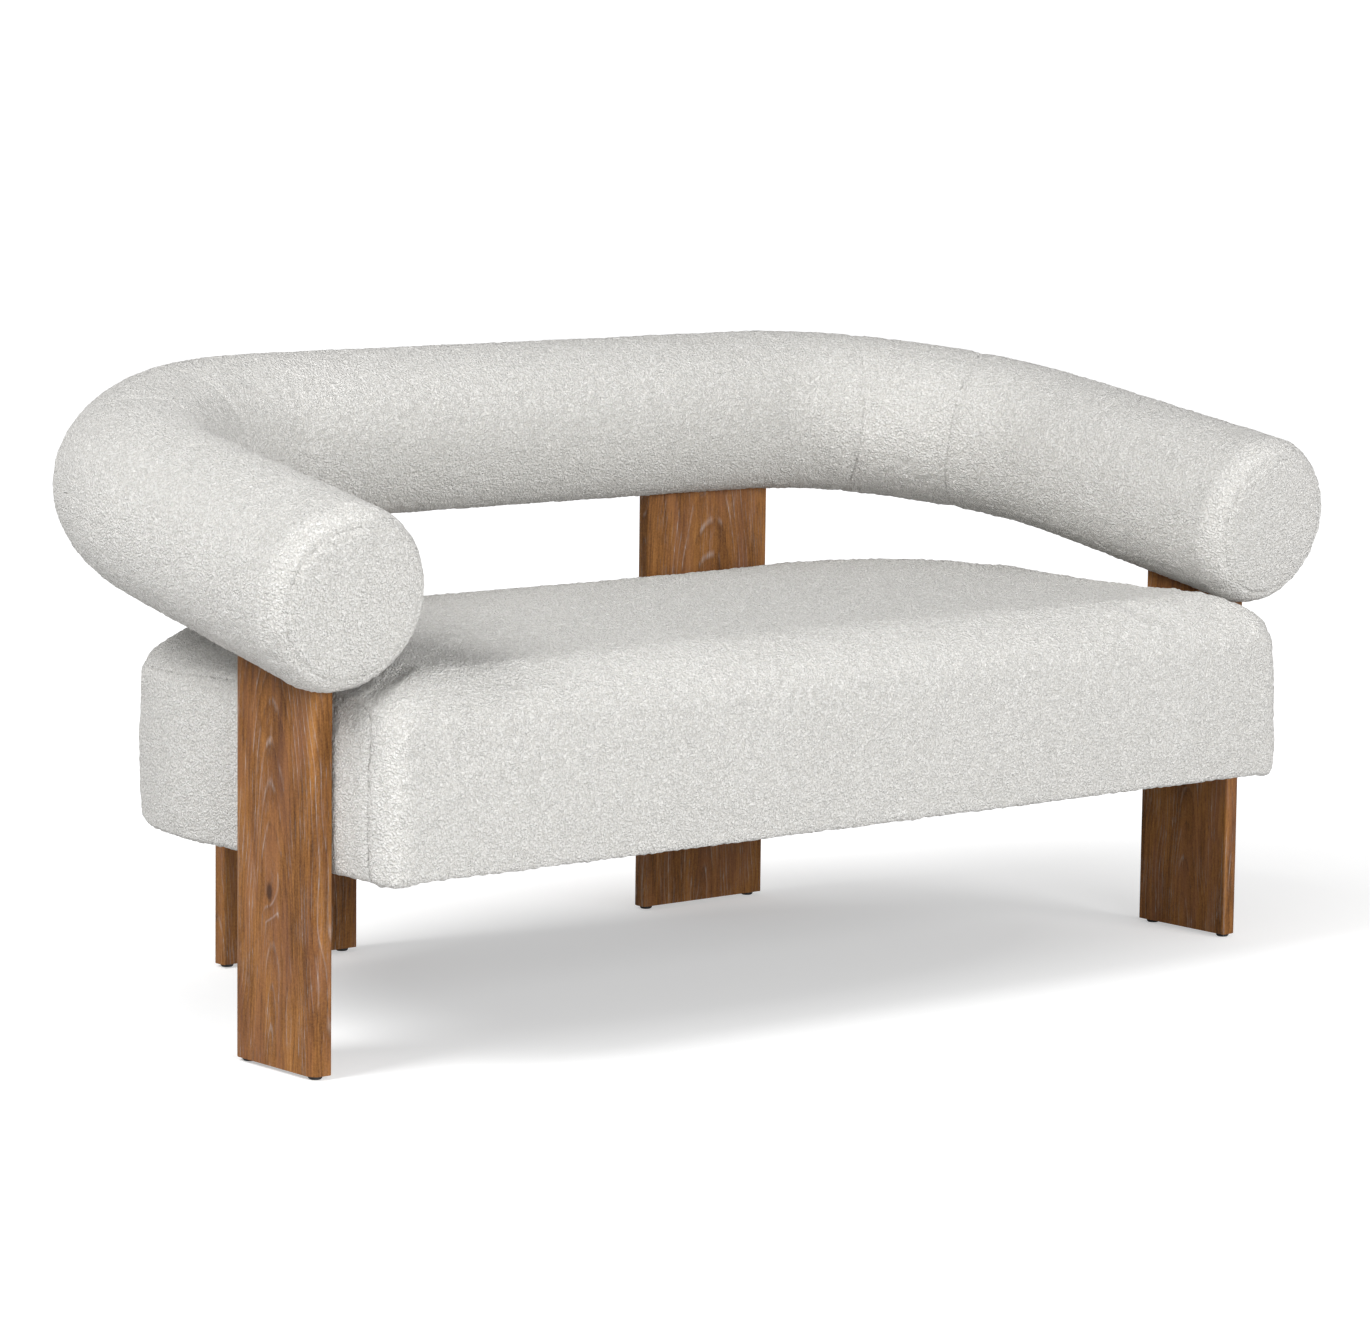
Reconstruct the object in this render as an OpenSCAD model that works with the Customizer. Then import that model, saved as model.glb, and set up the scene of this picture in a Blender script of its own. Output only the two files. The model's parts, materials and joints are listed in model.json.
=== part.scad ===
// Two-seat sofa: a D-shaped sprung seat carried by four flat wooden legs, and a round
// bolster that sweeps round the back and both sides on top of the legs.
// The origin is on the floor, under the middle of the sofa. The front is towards -Y.

/* [Seat] */
// Width of the covered seat
seat_w = 1332; // [1300:1:1400]
// Depth of the covered seat, front face to back face
seat_d = 650; // [630:1:670]
// Height of the seat's underside above the floor
seat_underside = 216; // [200:1:240]
// Thickness of the covered seat at its edge
seat_thick = 208; // [195:1:225]
// Plan radius of the seat's two rear corners
rear_corner_r = 290; // [270:1:300]
// Plan radius of the seat's two front corners
front_corner_r = 26; // [15:1:35]
// Radius along the seat's top edge
seat_edge_r = 60; // [50:1:62]
// How far below the top edge the seam of the seat's sides runs
side_seam_drop = 25; // [20:1:30]

/* [Bolster] */
// Radius of the covered bolster along the back
bolster_r = 96.5; // [92:0.5:100]
// Radius of the covered bolster at the arm ends
arm_end_r = 101; // [98:0.5:106]
// Height of the bolster's centre line at the back
bolster_z = 613.3; // [600:0.1:630]
// Fall of the bolster towards the arm ends, in degrees
bolster_tilt = 10; // [8:0.1:12]
// Radius of the bolster's corners, at its centre line
bend_r = 310; // [300:1:320]
// Half of the straight stretch along the back
back_half = 357; // [350:1:365]
// Outward flare of each arm, in degrees
arm_flare = 2.2; // [1:0.1:3]
// Length of each arm past its corner
arm_len = 327; // [310:1:335]
// Radius round the rim of each arm end
rim_r = 30; // [24:1:34]
// Radius of the sewn disc on each arm end
cap_r = 82; // [76:1:86]
// Angle of the corner swept by the wedge-shaped fabric panel
gusset_angle = 29; // [24:1:34]

/* [Legs] */
// Width of each front leg
front_leg_w = 144; // [130:1:150]
// Width of each rear leg
rear_leg_w = 192; // [180:1:200]
// Thickness of every leg
leg_t = 25; // [20:1:28]
// Distance from the middle of the sofa to the middle of each rear leg
rear_leg_x = 316; // [306:1:322]
// Distance from the seat's front face to the near edge of each front leg
front_leg_setback = 92; // [80:1:100]
// Radius along the long edges of each leg's outer face
leg_outer_r = 12; // [6:1:14]
// Radius along the long edges of each leg's inner face
leg_inner_r = 3; // [2:1:5]

/* [Glides] */
// Diameter of each nail-on glide
glide_d = 15; // [12:1:18]
// Height of each glide's head
glide_h = 4.5; // [4:0.5:6]

/* [Inner frame] */
// Thickness of the seat's rails
rail_t = 25; // [22:1:28]
// Height of the seat's rails
rail_h = 90; // [85:1:95]
// Side of the square bolster core
core_w = 70; // [60:1:76]
// Width of a webbing strap
strap_w = 60; // [50:1:70]

/* [Fabric and padding] */
// Thickness of the fabric
fabric_t = 2; // [1.5:0.5:2.5]
// Thickness of the seat's wadding
wadding_t = 8; // [5:1:8]

/* [Hidden] */
$fn = 96;

fabric_color = [0.86, 0.85, 0.82];
oak_color = [0.55, 0.38, 0.25];
pine_color = [0.80, 0.66, 0.46];
foam_color = [0.93, 0.88, 0.66];
steel_color = [0.70, 0.71, 0.73];
dark_color = [0.12, 0.12, 0.12];
gap = 0.3;

// Seat
half_w = seat_w / 2;
front_y = -375;
back_y = front_y + seat_d;
seat_top = seat_underside + seat_thick;
bend_x = half_w - rear_corner_r;
bend_y = back_y - rear_corner_r;
side_seam_z = seat_top - side_seam_drop;
corner_seam_y = front_y + front_corner_r;
frame_inset = fabric_t + wadding_t;
rail_z = seat_underside + fabric_t;
rail_top = rail_z + rail_h;
strap_t = 2;
felt_t = 3;
foam_z = rail_top + 2 * strap_t + felt_t;
cross_rail_x = 225;
cross_rail_h = 70;
hem_w = 34;
cavity_r = rear_corner_r - frame_inset - rail_t;

// Bolster
bolster_y = 375 - bolster_r;
bend_angle = 90 - arm_flare;
back_wrap = (bend_angle - gusset_angle) / 2;
foam_r = bolster_r - fabric_t;

// Legs
leg_x = half_w + leg_t / 2 + gap;
rear_leg_y = back_y + leg_t / 2 + gap;
front_leg_y = front_y + front_leg_setback + front_leg_w / 2;

// Fasteners
bolt_d = 8;
bolt_reach = 16;
bolt_head_h = 5.3;
bolt_head_af = 13;
washer_d = 17;
washer_t = 1.6;
insert_d = 12;
insert_len = 15;
bolt_heights = [247, 287];
front_bolt_pitch = 72;
rear_bolt_pitch = 80;
front_dowel_pitch = 80;
rear_dowel_pitch = 110;
leg_dowel_d = 10;
leg_dowel_len = 60;
rail_dowel_d = 8;
rail_dowel_len = 40;
core_dowel_d = 14;
core_dowel_len = 90;
front_glide_pitch = 118;
rear_glide_pitch = 165;

// ---- Shared shapes ----

// Children on the side given: 1 is the right, -1 is the left.
module on_side(side) {
    if (side > 0) children();
    else mirror([1, 0, 0]) children();
}

// Outline of the seat in plan, drawn in by the inset.
module seat_plan(inset) {
    front_r = front_corner_r - min(inset, front_corner_r - 3);
    translate([-half_w + inset, front_y + inset + front_r])
        square([seat_w - 2 * inset, bend_y - front_y - inset - front_r]);
    translate([-half_w + inset + front_r, front_y + inset])
        square([seat_w - 2 * inset - 2 * front_r, front_r + 1]);
    translate([-bend_x, bend_y - 1])
        square([2 * bend_x, rear_corner_r - inset + 1]);
    for (x = [-1, 1]) {
        translate([x * (half_w - inset - front_r), front_y + inset + front_r])
            circle(front_r);
        translate([x * bend_x, bend_y]) circle(rear_corner_r - inset);
    }
}

// Section through a seat edge, from its middle out to the edge at w.
module edge_section(w, inset, bottom) {
    top = seat_top - inset;
    r = seat_edge_r - inset;
    translate([0, bottom]) square([w, top - r - bottom]);
    translate([0, bottom]) square([w - r, top - bottom]);
    translate([w - r, top - r]) intersection() {
        circle(r);
        square(r);
    }
}

// Closed form of the whole seat, drawn in by the inset, down to the bottom given.
module seat_form(inset, bottom) {
    reach = rear_corner_r - inset;
    intersection() {
        union() {
            translate([-bend_x, bend_y, 0]) rotate([90, 0, 90])
                linear_extrude(2 * bend_x) edge_section(reach, inset, bottom);
            for (side = [-1, 1]) on_side(side) {
                translate([bend_x, bend_y, 0])
                    rotate_extrude(angle = 90) edge_section(reach, inset, bottom);
                translate([bend_x, bend_y, 0]) rotate([90, 0, 0])
                    linear_extrude(bend_y - front_y) edge_section(reach, inset, bottom);
            }
            translate([-bend_x, front_y, bottom])
                cube([2 * bend_x, bend_y - front_y, seat_top - inset - bottom]);
        }
        translate([-half_w, back_y, 0]) mirror([0, 1, 0]) rotate([90, 0, 90])
            linear_extrude(seat_w) edge_section(seat_d - inset, inset, bottom);
        translate([0, 0, bottom])
            linear_extrude(seat_thick) seat_plan(inset);
    }
}

// Children in the tilted plane that the bolster's centre line lies in.
module in_bolster_plane() {
    translate([0, bolster_y, bolster_z]) rotate([bolster_tilt, 0, 0]) children();
}

// Round tube section along a corner of the bolster, between two angles from the back.
module bend(start, sweep, r) {
    translate([back_half, -bend_r, 0]) rotate([0, 0, 90 - start - sweep])
        rotate_extrude(angle = sweep) translate([bend_r, 0]) circle(r);
}

// Children set on the arm's own axis, pointing forwards from the end of the corner.
module along_arm() {
    translate([
        back_half + bend_r * cos(arm_flare),
        -bend_r + bend_r * sin(arm_flare),
        0
    ]) rotate([90, 0, arm_flare]) children();
}

// Section of an arm from its axis out, with its rounded rim, drawn in by the inset.
module arm_section(inset) {
    end_r = arm_end_r - inset;
    end_z = arm_len - inset;
    rim = rim_r - inset;
    polygon([[0, 0], [bolster_r - inset, 0], [end_r, end_z - rim], [0, end_z - rim]]);
    translate([0, end_z - rim - 1]) square([end_r - rim, rim + 1]);
    translate([end_r - rim, end_z - rim]) intersection() {
        circle(rim);
        square(rim);
    }
}

// Square core along a corner of the bolster.
module bent_core() {
    translate([back_half, -bend_r, 0]) rotate([0, 0, arm_flare])
        rotate_extrude(angle = bend_angle)
            translate([bend_r - core_w / 2, -core_w / 2]) square(core_w);
}

// Straight core along the right arm.
module arm_core() {
    along_arm() translate([-core_w / 2, -core_w / 2, 0])
        cube([core_w, core_w, arm_len - rim_r]);
}

// ---- Legs ----

// Flat board standing on its glides, w wide along X, with its rounder outer face towards -Y.
module leg_board(w, extra) {
    t = leg_t + 2 * extra;
    half = w / 2 + extra;
    outer_r = leg_outer_r + extra;
    inner_r = leg_inner_r + extra;
    translate([0, -t / 2, glide_h]) linear_extrude(bolster_z) {
        translate([-half, outer_r]) square([2 * half, t - outer_r - inner_r]);
        translate([inner_r - half, outer_r]) square([2 * (half - inner_r), t - outer_r]);
        translate([outer_r - half, 0]) square([2 * (half - outer_r), t]);
        for (side = [-1, 1]) {
            translate([side * (half - outer_r), outer_r]) circle(outer_r);
            translate([side * (half - inner_r), t - inner_r]) circle(inner_r);
        }
    }
}

// Everything above the underside of the bolster's core.
module above_core_underside() {
    in_bolster_plane() translate([-1000, -1000, -core_w / 2])
        cube([2000, 2000, 500]);
}

module at_front_leg() {
    translate([leg_x, front_leg_y, 0]) rotate([0, 0, 90]) children();
}

module at_rear_leg() {
    translate([rear_leg_x, rear_leg_y, 0]) rotate([0, 0, 180]) children();
}

// Bolt positions on one leg, with the bolt's axis along +Z and the seat's edge at 0.
module at_bolts(pitch) {
    for (x = [-pitch / 2, pitch / 2], z = bolt_heights)
        translate([x, 0, z]) children();
}

module at_front_bolts() {
    translate([half_w, front_leg_y, 0]) rotate([0, 0, -90])
        at_bolts(front_bolt_pitch) rotate([-90, 0, 0]) children();
}

module at_rear_bolts() {
    translate([rear_leg_x, back_y, 0])
        at_bolts(rear_bolt_pitch) rotate([-90, 0, 0]) children();
}

// Children at every bolt of all four legs.
module at_all_bolts() {
    for (side = [-1, 1]) on_side(side) {
        at_front_bolts() children();
        at_rear_bolts() children();
    }
}

module bolt_hole() {
    translate([0, 0, -frame_inset - rail_t - 1]) cylinder(d = bolt_d, h = 60);
}

module insert_hole() {
    cylinder(d = insert_d, h = bolt_reach + 1);
}

// Height of the core's underside at the y given.
function core_underside(y) =
    bolster_z + (y - bolster_y) * tan(bolster_tilt) - core_w / 2 / cos(bolster_tilt);

// Children at the two dowels in the top of each right-hand leg.
module at_leg_dowels() {
    for (s = [-1, 1]) {
        translate([leg_x, front_leg_y + s * front_dowel_pitch / 2,
            core_underside(front_leg_y + s * front_dowel_pitch / 2)]) children();
        translate([rear_leg_x + s * rear_dowel_pitch / 2, rear_leg_y,
            core_underside(rear_leg_y)]) children();
    }
}

module leg_dowel() {
    cylinder(d = leg_dowel_d, h = leg_dowel_len, center = true);
}

module front_leg(side) {
    color(oak_color) on_side(side) difference() {
        at_front_leg() leg_board(front_leg_w, 0);
        above_core_underside();
        at_front_bolts() insert_hole();
        at_leg_dowels() leg_dowel();
        at_front_glides() glide_nail();
    }
}

module rear_leg(side) {
    color(oak_color) on_side(side) difference() {
        at_rear_leg() leg_board(rear_leg_w, 0);
        above_core_underside();
        at_rear_bolts() insert_hole();
        at_leg_dowels() leg_dowel();
        at_rear_glides() glide_nail();
    }
}

// ---- Glides ----

module glide_nail() {
    translate([0, 0, glide_h]) cylinder(d = 2.5, h = 14);
}

module glide() {
    glide_nail();
    translate([0, 0, 1.5]) cylinder(d = glide_d, h = glide_h - 1.5);
    cylinder(d1 = glide_d - 3, d2 = glide_d, h = 1.5);
}

module at_front_glides() {
    at_front_leg() for (s = [-1, 1]) translate([s * front_glide_pitch / 2, 0, 0]) children();
}

module at_rear_glides() {
    at_rear_leg() for (s = [-1, 1]) translate([s * rear_glide_pitch / 2, 0, 0]) children();
}

module front_glides(side) {
    color(dark_color) on_side(side) at_front_glides() glide();
}

module rear_glides(side) {
    color(dark_color) on_side(side) at_rear_glides() glide();
}

// ---- Seat frame ----

// Children at each dowel in the seat frame, with the dowel along Z.
module at_rail_dowels() {
    rail_mid = frame_inset + rail_t / 2;
    for (side = [-1, 1]) on_side(side) {
        for (z = [rail_z + 18, rail_top - 18])
            translate([half_w - frame_inset - rail_t, front_y + rail_mid, z])
                rotate([0, 90, 0]) children();
        for (z = [rail_z + 10, rail_top - 14]) {
            translate([bend_x, back_y - rail_mid, z]) rotate([0, 90, 0]) children();
            translate([half_w - rail_mid, bend_y, z]) rotate([90, 0, 0]) children();
        }
    }
}

module rail_dowel() {
    cylinder(d = rail_dowel_d, h = rail_dowel_len, center = true);
}

module rail_dowels() {
    color(pine_color) at_rail_dowels() rail_dowel();
}

module front_rail() {
    color(pine_color) difference() {
        translate([-half_w + frame_inset + rail_t, front_y + frame_inset, rail_z])
            cube([seat_w - 2 * (frame_inset + rail_t), rail_t, rail_h]);
        at_rail_dowels() rail_dowel();
    }
}

module back_rail() {
    color(pine_color) difference() {
        translate([-bend_x, back_y - frame_inset - rail_t, rail_z])
            cube([2 * bend_x, rail_t, rail_h]);
        at_rail_dowels() rail_dowel();
        for (side = [-1, 1]) on_side(side) at_rear_bolts() bolt_hole();
    }
}

module side_rail(side) {
    start_y = front_y + frame_inset;
    color(pine_color) difference() {
        on_side(side) intersection() {
            translate([half_w - frame_inset - rail_t, start_y, rail_z])
                cube([rail_t, bend_y - start_y, rail_h]);
            translate([0, 0, rail_z]) linear_extrude(rail_h) seat_plan(frame_inset);
        }
        at_rail_dowels() rail_dowel();
        on_side(side) at_front_bolts() bolt_hole();
    }
}

module bent_rail(side) {
    color(pine_color) difference() {
        on_side(side) translate([bend_x, bend_y, rail_z]) rotate_extrude(angle = 90)
            translate([cavity_r, 0]) square([rail_t, rail_h]);
        at_rail_dowels() rail_dowel();
        on_side(side) at_rear_bolts() bolt_hole();
    }
}

module cross_rail(side) {
    start_y = front_y + frame_inset + rail_t;
    color(pine_color) on_side(side)
        translate([cross_rail_x, start_y, rail_z])
            cube([rail_t, back_y - frame_inset - rail_t - start_y, cross_rail_h]);
}

// Triangular glue blocks inside the front corners and at the cross rails.
module corner_blocks() {
    inner_y = front_y + frame_inset + rail_t;
    rear_y = back_y - frame_inset - rail_t;
    color(pine_color) for (side = [-1, 1]) on_side(side) translate([0, 0, rail_z]) {
        translate([half_w - frame_inset - rail_t, inner_y, 0]) linear_extrude(60)
            polygon([[0, 0], [0, 64], [-64, 0]]);
        translate([cross_rail_x, inner_y, 0]) linear_extrude(60)
            polygon([[0, 0], [0, 45], [-45, 0]]);
        translate([cross_rail_x, rear_y, 0]) linear_extrude(60)
            polygon([[0, 0], [0, -45], [-45, 0]]);
    }
}

// Thin layer across the whole frame, inside the wadding.
module frame_layer(z, t, inset) {
    translate([0, 0, z]) linear_extrude(t) seat_plan(inset);
}

module webbing_straps() {
    color(dark_color) intersection() {
        frame_layer(rail_top, strap_t, frame_inset + 4);
        for (i = [-4.5:1:4.5])
            translate([i * 2 * strap_w - strap_w / 2, front_y, rail_top])
                cube([strap_w, seat_d, strap_t]);
    }
}

module webbing_cross_straps() {
    color(dark_color) intersection() {
        frame_layer(rail_top + strap_t, strap_t, frame_inset + 4);
        for (y = [-290, -160, -30, 100])
            translate([-half_w, y, rail_top + strap_t]) cube([seat_w, strap_w, strap_t]);
    }
}

module seat_deck_felt() {
    color([0.45, 0.45, 0.47]) frame_layer(rail_top + 2 * strap_t, felt_t, frame_inset + 4);
}

// ---- Seat padding and covers ----

module seat_foam() {
    color(foam_color) seat_form(frame_inset, foam_z);
}

module seat_wadding() {
    color([0.95, 0.95, 0.95]) difference() {
        seat_form(fabric_t, rail_z);
        seat_form(frame_inset, rail_z - 1);
        at_all_bolts() bolt_hole();
    }
}

// The whole fabric shell, with its hem turned under the rails.
module seat_shell() {
    difference() {
        seat_form(0, seat_underside);
        seat_form(fabric_t, rail_z);
        frame_layer(seat_underside - 1, fabric_t + 2, hem_w);
    }
}

// Zone of the side panels: below the side seam and behind the front corner seam.
module side_zone(clear) {
    y0 = corner_seam_y + clear;
    z1 = side_seam_z - clear;
    r = seat_edge_r - side_seam_drop / 2;
    translate([-half_w - 1, 0, 0]) rotate([90, 0, 90]) linear_extrude(seat_w + 2) {
        translate([y0, 0]) square([seat_d, z1 - r]);
        translate([y0 + r, 0]) square([seat_d, z1]);
        translate([y0 + r, z1 - r]) circle(r);
    }
}

module seat_top_cover() {
    color(fabric_color) difference() {
        seat_shell();
        side_zone(0);
    }
}

module seat_side_cover(side) {
    color(fabric_color) difference() {
        intersection() {
            seat_shell();
            side_zone(gap);
            on_side(side) translate([gap / 2, front_y, 0]) cube([half_w, seat_d, seat_top]);
        }
        on_side(side) at_front_bolts() bolt_hole();
        on_side(side) at_rear_bolts() bolt_hole();
    }
}

module dust_cover() {
    color(dark_color) frame_layer(seat_underside - 1, 1, 14);
}

// ---- Bolster core ----

// Children at each dowel between the core's pieces, in the bolster's plane.
module at_core_dowels() {
    for (side = [-1, 1]) on_side(side) for (z = [-18, 18]) {
        translate([back_half, 0, z]) rotate([0, 90, 0]) children();
        along_arm() translate([0, z, 0]) children();
    }
}

module core_dowel() {
    cylinder(d = core_dowel_d, h = core_dowel_len, center = true);
}

module core_dowels() {
    color(pine_color) in_bolster_plane() at_core_dowels() core_dowel();
}

module core_holes() {
    in_bolster_plane() at_core_dowels() core_dowel();
    for (side = [-1, 1]) on_side(side) at_leg_dowels() leg_dowel();
}

module back_core() {
    color(pine_color) difference() {
        in_bolster_plane() cube([2 * back_half, core_w, core_w], center = true);
        core_holes();
    }
}

module bent_core_piece(side) {
    color(pine_color) difference() {
        on_side(side) in_bolster_plane() bent_core();
        core_holes();
    }
}

module arm_core_piece(side) {
    color(pine_color) difference() {
        on_side(side) in_bolster_plane() arm_core();
        core_holes();
    }
}

module leg_dowels() {
    color(pine_color) for (side = [-1, 1]) on_side(side) at_leg_dowels() leg_dowel();
}

// ---- Bolster padding and covers ----

// Slots that the four legs pass through, up to the core.
module leg_slots() {
    difference() {
        for (side = [-1, 1]) on_side(side) {
            at_front_leg() leg_board(front_leg_w, gap);
            at_rear_leg() leg_board(rear_leg_w, gap);
        }
        above_core_underside();
    }
}

module back_foam() {
    color(foam_color) difference() {
        in_bolster_plane() difference() {
            rotate([0, 90, 0]) cylinder(r = foam_r, h = 2 * back_half, center = true);
            cube([2 * back_half + 2, core_w, core_w], center = true);
        }
        leg_slots();
    }
}

module corner_foam(side) {
    color(foam_color) difference() {
        on_side(side) in_bolster_plane() difference() {
            bend(0, bend_angle, foam_r);
            bent_core();
        }
        leg_slots();
    }
}

module arm_foam(side) {
    color(foam_color) difference() {
        on_side(side) in_bolster_plane() difference() {
            along_arm() rotate_extrude() arm_section(fabric_t);
            arm_core();
        }
        leg_slots();
    }
}

module back_cover() {
    color(fabric_color) difference() {
        in_bolster_plane() difference() {
            union() {
                rotate([0, 90, 0]) cylinder(r = bolster_r, h = 2 * back_half, center = true);
                for (side = [-1, 1]) on_side(side) bend(0, back_wrap, bolster_r);
            }
            rotate([0, 90, 0]) cylinder(r = foam_r, h = 2 * back_half, center = true);
            for (side = [-1, 1]) on_side(side) bend(0, back_wrap, foam_r);
        }
        leg_slots();
    }
}

module gusset_cover(side) {
    color(fabric_color) on_side(side) in_bolster_plane() difference() {
        bend(back_wrap + 0.05, gusset_angle - 0.1, bolster_r);
        bend(back_wrap, gusset_angle, foam_r);
    }
}

// Shell along the arm and the last stretch of the corner.
module arm_shell() {
    bend_start = back_wrap + gusset_angle;
    difference() {
        bend(bend_start, bend_angle - bend_start, bolster_r);
        bend(bend_start, bend_angle - bend_start, foam_r);
    }
    along_arm() rotate_extrude() difference() {
        arm_section(0);
        arm_section(fabric_t);
    }
}

module arm_cover(side) {
    color(fabric_color) difference() {
        on_side(side) in_bolster_plane() difference() {
            arm_shell();
            along_arm() translate([0, 0, arm_len - rim_r]) cylinder(r = cap_r, h = rim_r + 1);
        }
        leg_slots();
    }
}

module end_cover(side) {
    color(fabric_color) on_side(side) in_bolster_plane() along_arm()
        rotate_extrude() intersection() {
            difference() {
                arm_section(0);
                arm_section(fabric_t);
            }
            translate([0, arm_len - rim_r]) square([cap_r - gap, rim_r + 1]);
        }
}

// ---- Fasteners ----

// Bolt through the rail into the leg, with its head and washer inside the seat.
module leg_bolts() {
    head_z = -frame_inset - rail_t - washer_t - bolt_head_h;
    color(steel_color) at_all_bolts() translate([0, 0, head_z]) {
        cylinder(d = bolt_head_af / cos(30), h = bolt_head_h, $fn = 6);
        translate([0, 0, bolt_head_h]) cylinder(d = bolt_d, h = bolt_reach - head_z - bolt_head_h);
    }
}

module leg_washers() {
    color(steel_color) at_all_bolts() translate([0, 0, -frame_inset - rail_t - washer_t])
        difference() {
            cylinder(d = washer_d, h = washer_t);
            translate([0, 0, -1]) cylinder(d = bolt_d + 0.4, h = washer_t + 2);
        }
}

module leg_inserts() {
    color([0.78, 0.64, 0.30]) at_all_bolts() translate([0, 0, gap]) difference() {
        cylinder(d = insert_d, h = insert_len);
        translate([0, 0, -1]) cylinder(d = bolt_d, h = insert_len + 2);
    }
}

front_leg(-1);  // front_left_leg
front_leg(1);  // front_right_leg
rear_leg(-1);  // rear_left_leg
rear_leg(1);  // rear_right_leg
front_glides(-1);  // front_left_glides
front_glides(1);  // front_right_glides
rear_glides(-1);  // rear_left_glides
rear_glides(1);  // rear_right_glides
front_rail();
back_rail();
side_rail(-1);  // left_rail
side_rail(1);  // right_rail
bent_rail(-1);  // left_bent_rail
bent_rail(1);  // right_bent_rail
cross_rail(-1);  // left_cross_rail
cross_rail(1);  // right_cross_rail
corner_blocks();
rail_dowels();
webbing_straps();
webbing_cross_straps();
seat_deck_felt();
seat_foam();
seat_wadding();
seat_top_cover();
seat_side_cover(-1);  // seat_left_cover
seat_side_cover(1);  // seat_right_cover
dust_cover();
back_core();
bent_core_piece(-1);  // left_bent_core
bent_core_piece(1);  // right_bent_core
arm_core_piece(-1);  // left_arm_core
arm_core_piece(1);  // right_arm_core
core_dowels();
leg_dowels();
back_foam();
corner_foam(-1);  // left_corner_foam
corner_foam(1);  // right_corner_foam
arm_foam(-1);  // left_arm_foam
arm_foam(1);  // right_arm_foam
back_cover();
gusset_cover(-1);  // left_gusset_cover
gusset_cover(1);  // right_gusset_cover
arm_cover(-1);  // left_arm_cover
arm_cover(1);  // right_arm_cover
end_cover(-1);  // left_end_cover
end_cover(1);  // right_end_cover
leg_bolts();
leg_washers();
leg_inserts();
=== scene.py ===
"""Two-seat boucle sofa: seat, bolster, dust cloth, timber legs, floor, lights and camera."""

import itertools
import json
import math

import bmesh
import bpy
import numpy as np
from mathutils import Matrix, Vector


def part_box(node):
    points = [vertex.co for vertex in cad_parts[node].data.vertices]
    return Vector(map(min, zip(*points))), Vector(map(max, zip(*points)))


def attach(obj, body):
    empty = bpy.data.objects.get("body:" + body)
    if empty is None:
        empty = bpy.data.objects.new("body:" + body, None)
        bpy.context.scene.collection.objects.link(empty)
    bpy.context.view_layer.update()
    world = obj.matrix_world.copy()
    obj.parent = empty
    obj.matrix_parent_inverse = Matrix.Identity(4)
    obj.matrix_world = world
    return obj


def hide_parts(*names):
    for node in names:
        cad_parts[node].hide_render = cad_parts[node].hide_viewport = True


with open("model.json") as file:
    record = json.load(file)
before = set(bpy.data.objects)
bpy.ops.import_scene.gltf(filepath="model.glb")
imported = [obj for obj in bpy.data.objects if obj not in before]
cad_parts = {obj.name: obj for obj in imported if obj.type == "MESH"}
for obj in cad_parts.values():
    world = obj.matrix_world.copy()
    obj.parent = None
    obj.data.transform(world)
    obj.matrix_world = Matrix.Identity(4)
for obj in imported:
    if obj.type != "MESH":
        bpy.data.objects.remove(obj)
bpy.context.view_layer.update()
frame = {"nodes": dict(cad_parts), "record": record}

# ---- Sizes, in metres ----

STEP = 0.0036  # spacing of the fabric's mesh
FOLD = math.radians(72)  # faces that meet more sharply than this are shaded apart
FAR = 1.0  # further than any seam reaches
UP = np.array([0, 0, 1.0])

# Bolster: its ends and radius come from the frame, its bends from these
BEND_R = 0.310
TILT = math.radians(10)
FLARE = math.radians(2.2)
ARM_LEN = 0.327
RIM_R = 0.030
RIM_LEN = 0.036  # the rim turns in over this length of the arm
CAP_R = 0.082
CAP_DOME = 0.0035
CAP_DEPTH = 0.012
GUSSET = math.radians(29)
GUSSET_PULL = 0.003  # the gusset cuts the bend's corner by this
END_INSET = 0.004

# Boucle pile: height, size across and seed of its lumps and of its loops
LUMPS = ((0.00045, 0.030, 5), (0.00035, 0.012, 6))
LOOPS = ((0.0017, 0.0074, 11), (0.0012, 0.0050, 21))
PILE_BASE = 0.0014  # the ground that the loops stand on is this far inside the form
PRESSED_PILE = 0.0015  # room for the pile against a leg
LOOSE_PILE = 0.004

# Seams
SEAM_IN = 0.0012  # how deep a seam sinks into the padding, times one of the next three
END_SEAM = 2.0
SEAT_SEAM = 1.5
GUSSET_SEAM = 0.5
SEAM_HALF_W = 0.0030
SHOULDER = 0.0001  # the cover stands up this much beside a seam
SHOULDER_AT = 0.013
SHOULDER_HALF_W = 0.009
WOBBLE = 0.3  # the share of its depth that a seam wavers by
WOBBLE_SIZE = 0.011
WOBBLE_SEED = 31

# Boucle material
LOOPS_PER_M = 350
NUBS_PER_M = 620
CLUMPS_PER_M = 130
FIBRES_PER_M = 1700
LOOP_DRIFT = 0.0028
LOOP_BUMP = 0.0046

# Oak material
BOARD_SHIFT = 3.1  # from one leg's grain to the next one's
KNOT_W = 0.006
KNOT_DEPTH = 0.05
KNOT_H = 0.011
KNOT_BEND = 0.006
RINGS_PER_M = 210
RING_SWAY = 0.055
HEART_SHIFT = 0.008
HEART_DEPTH = 0.03
ARCH_FOOT = 0.12
ARCH_LEAN = 0.11

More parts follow.
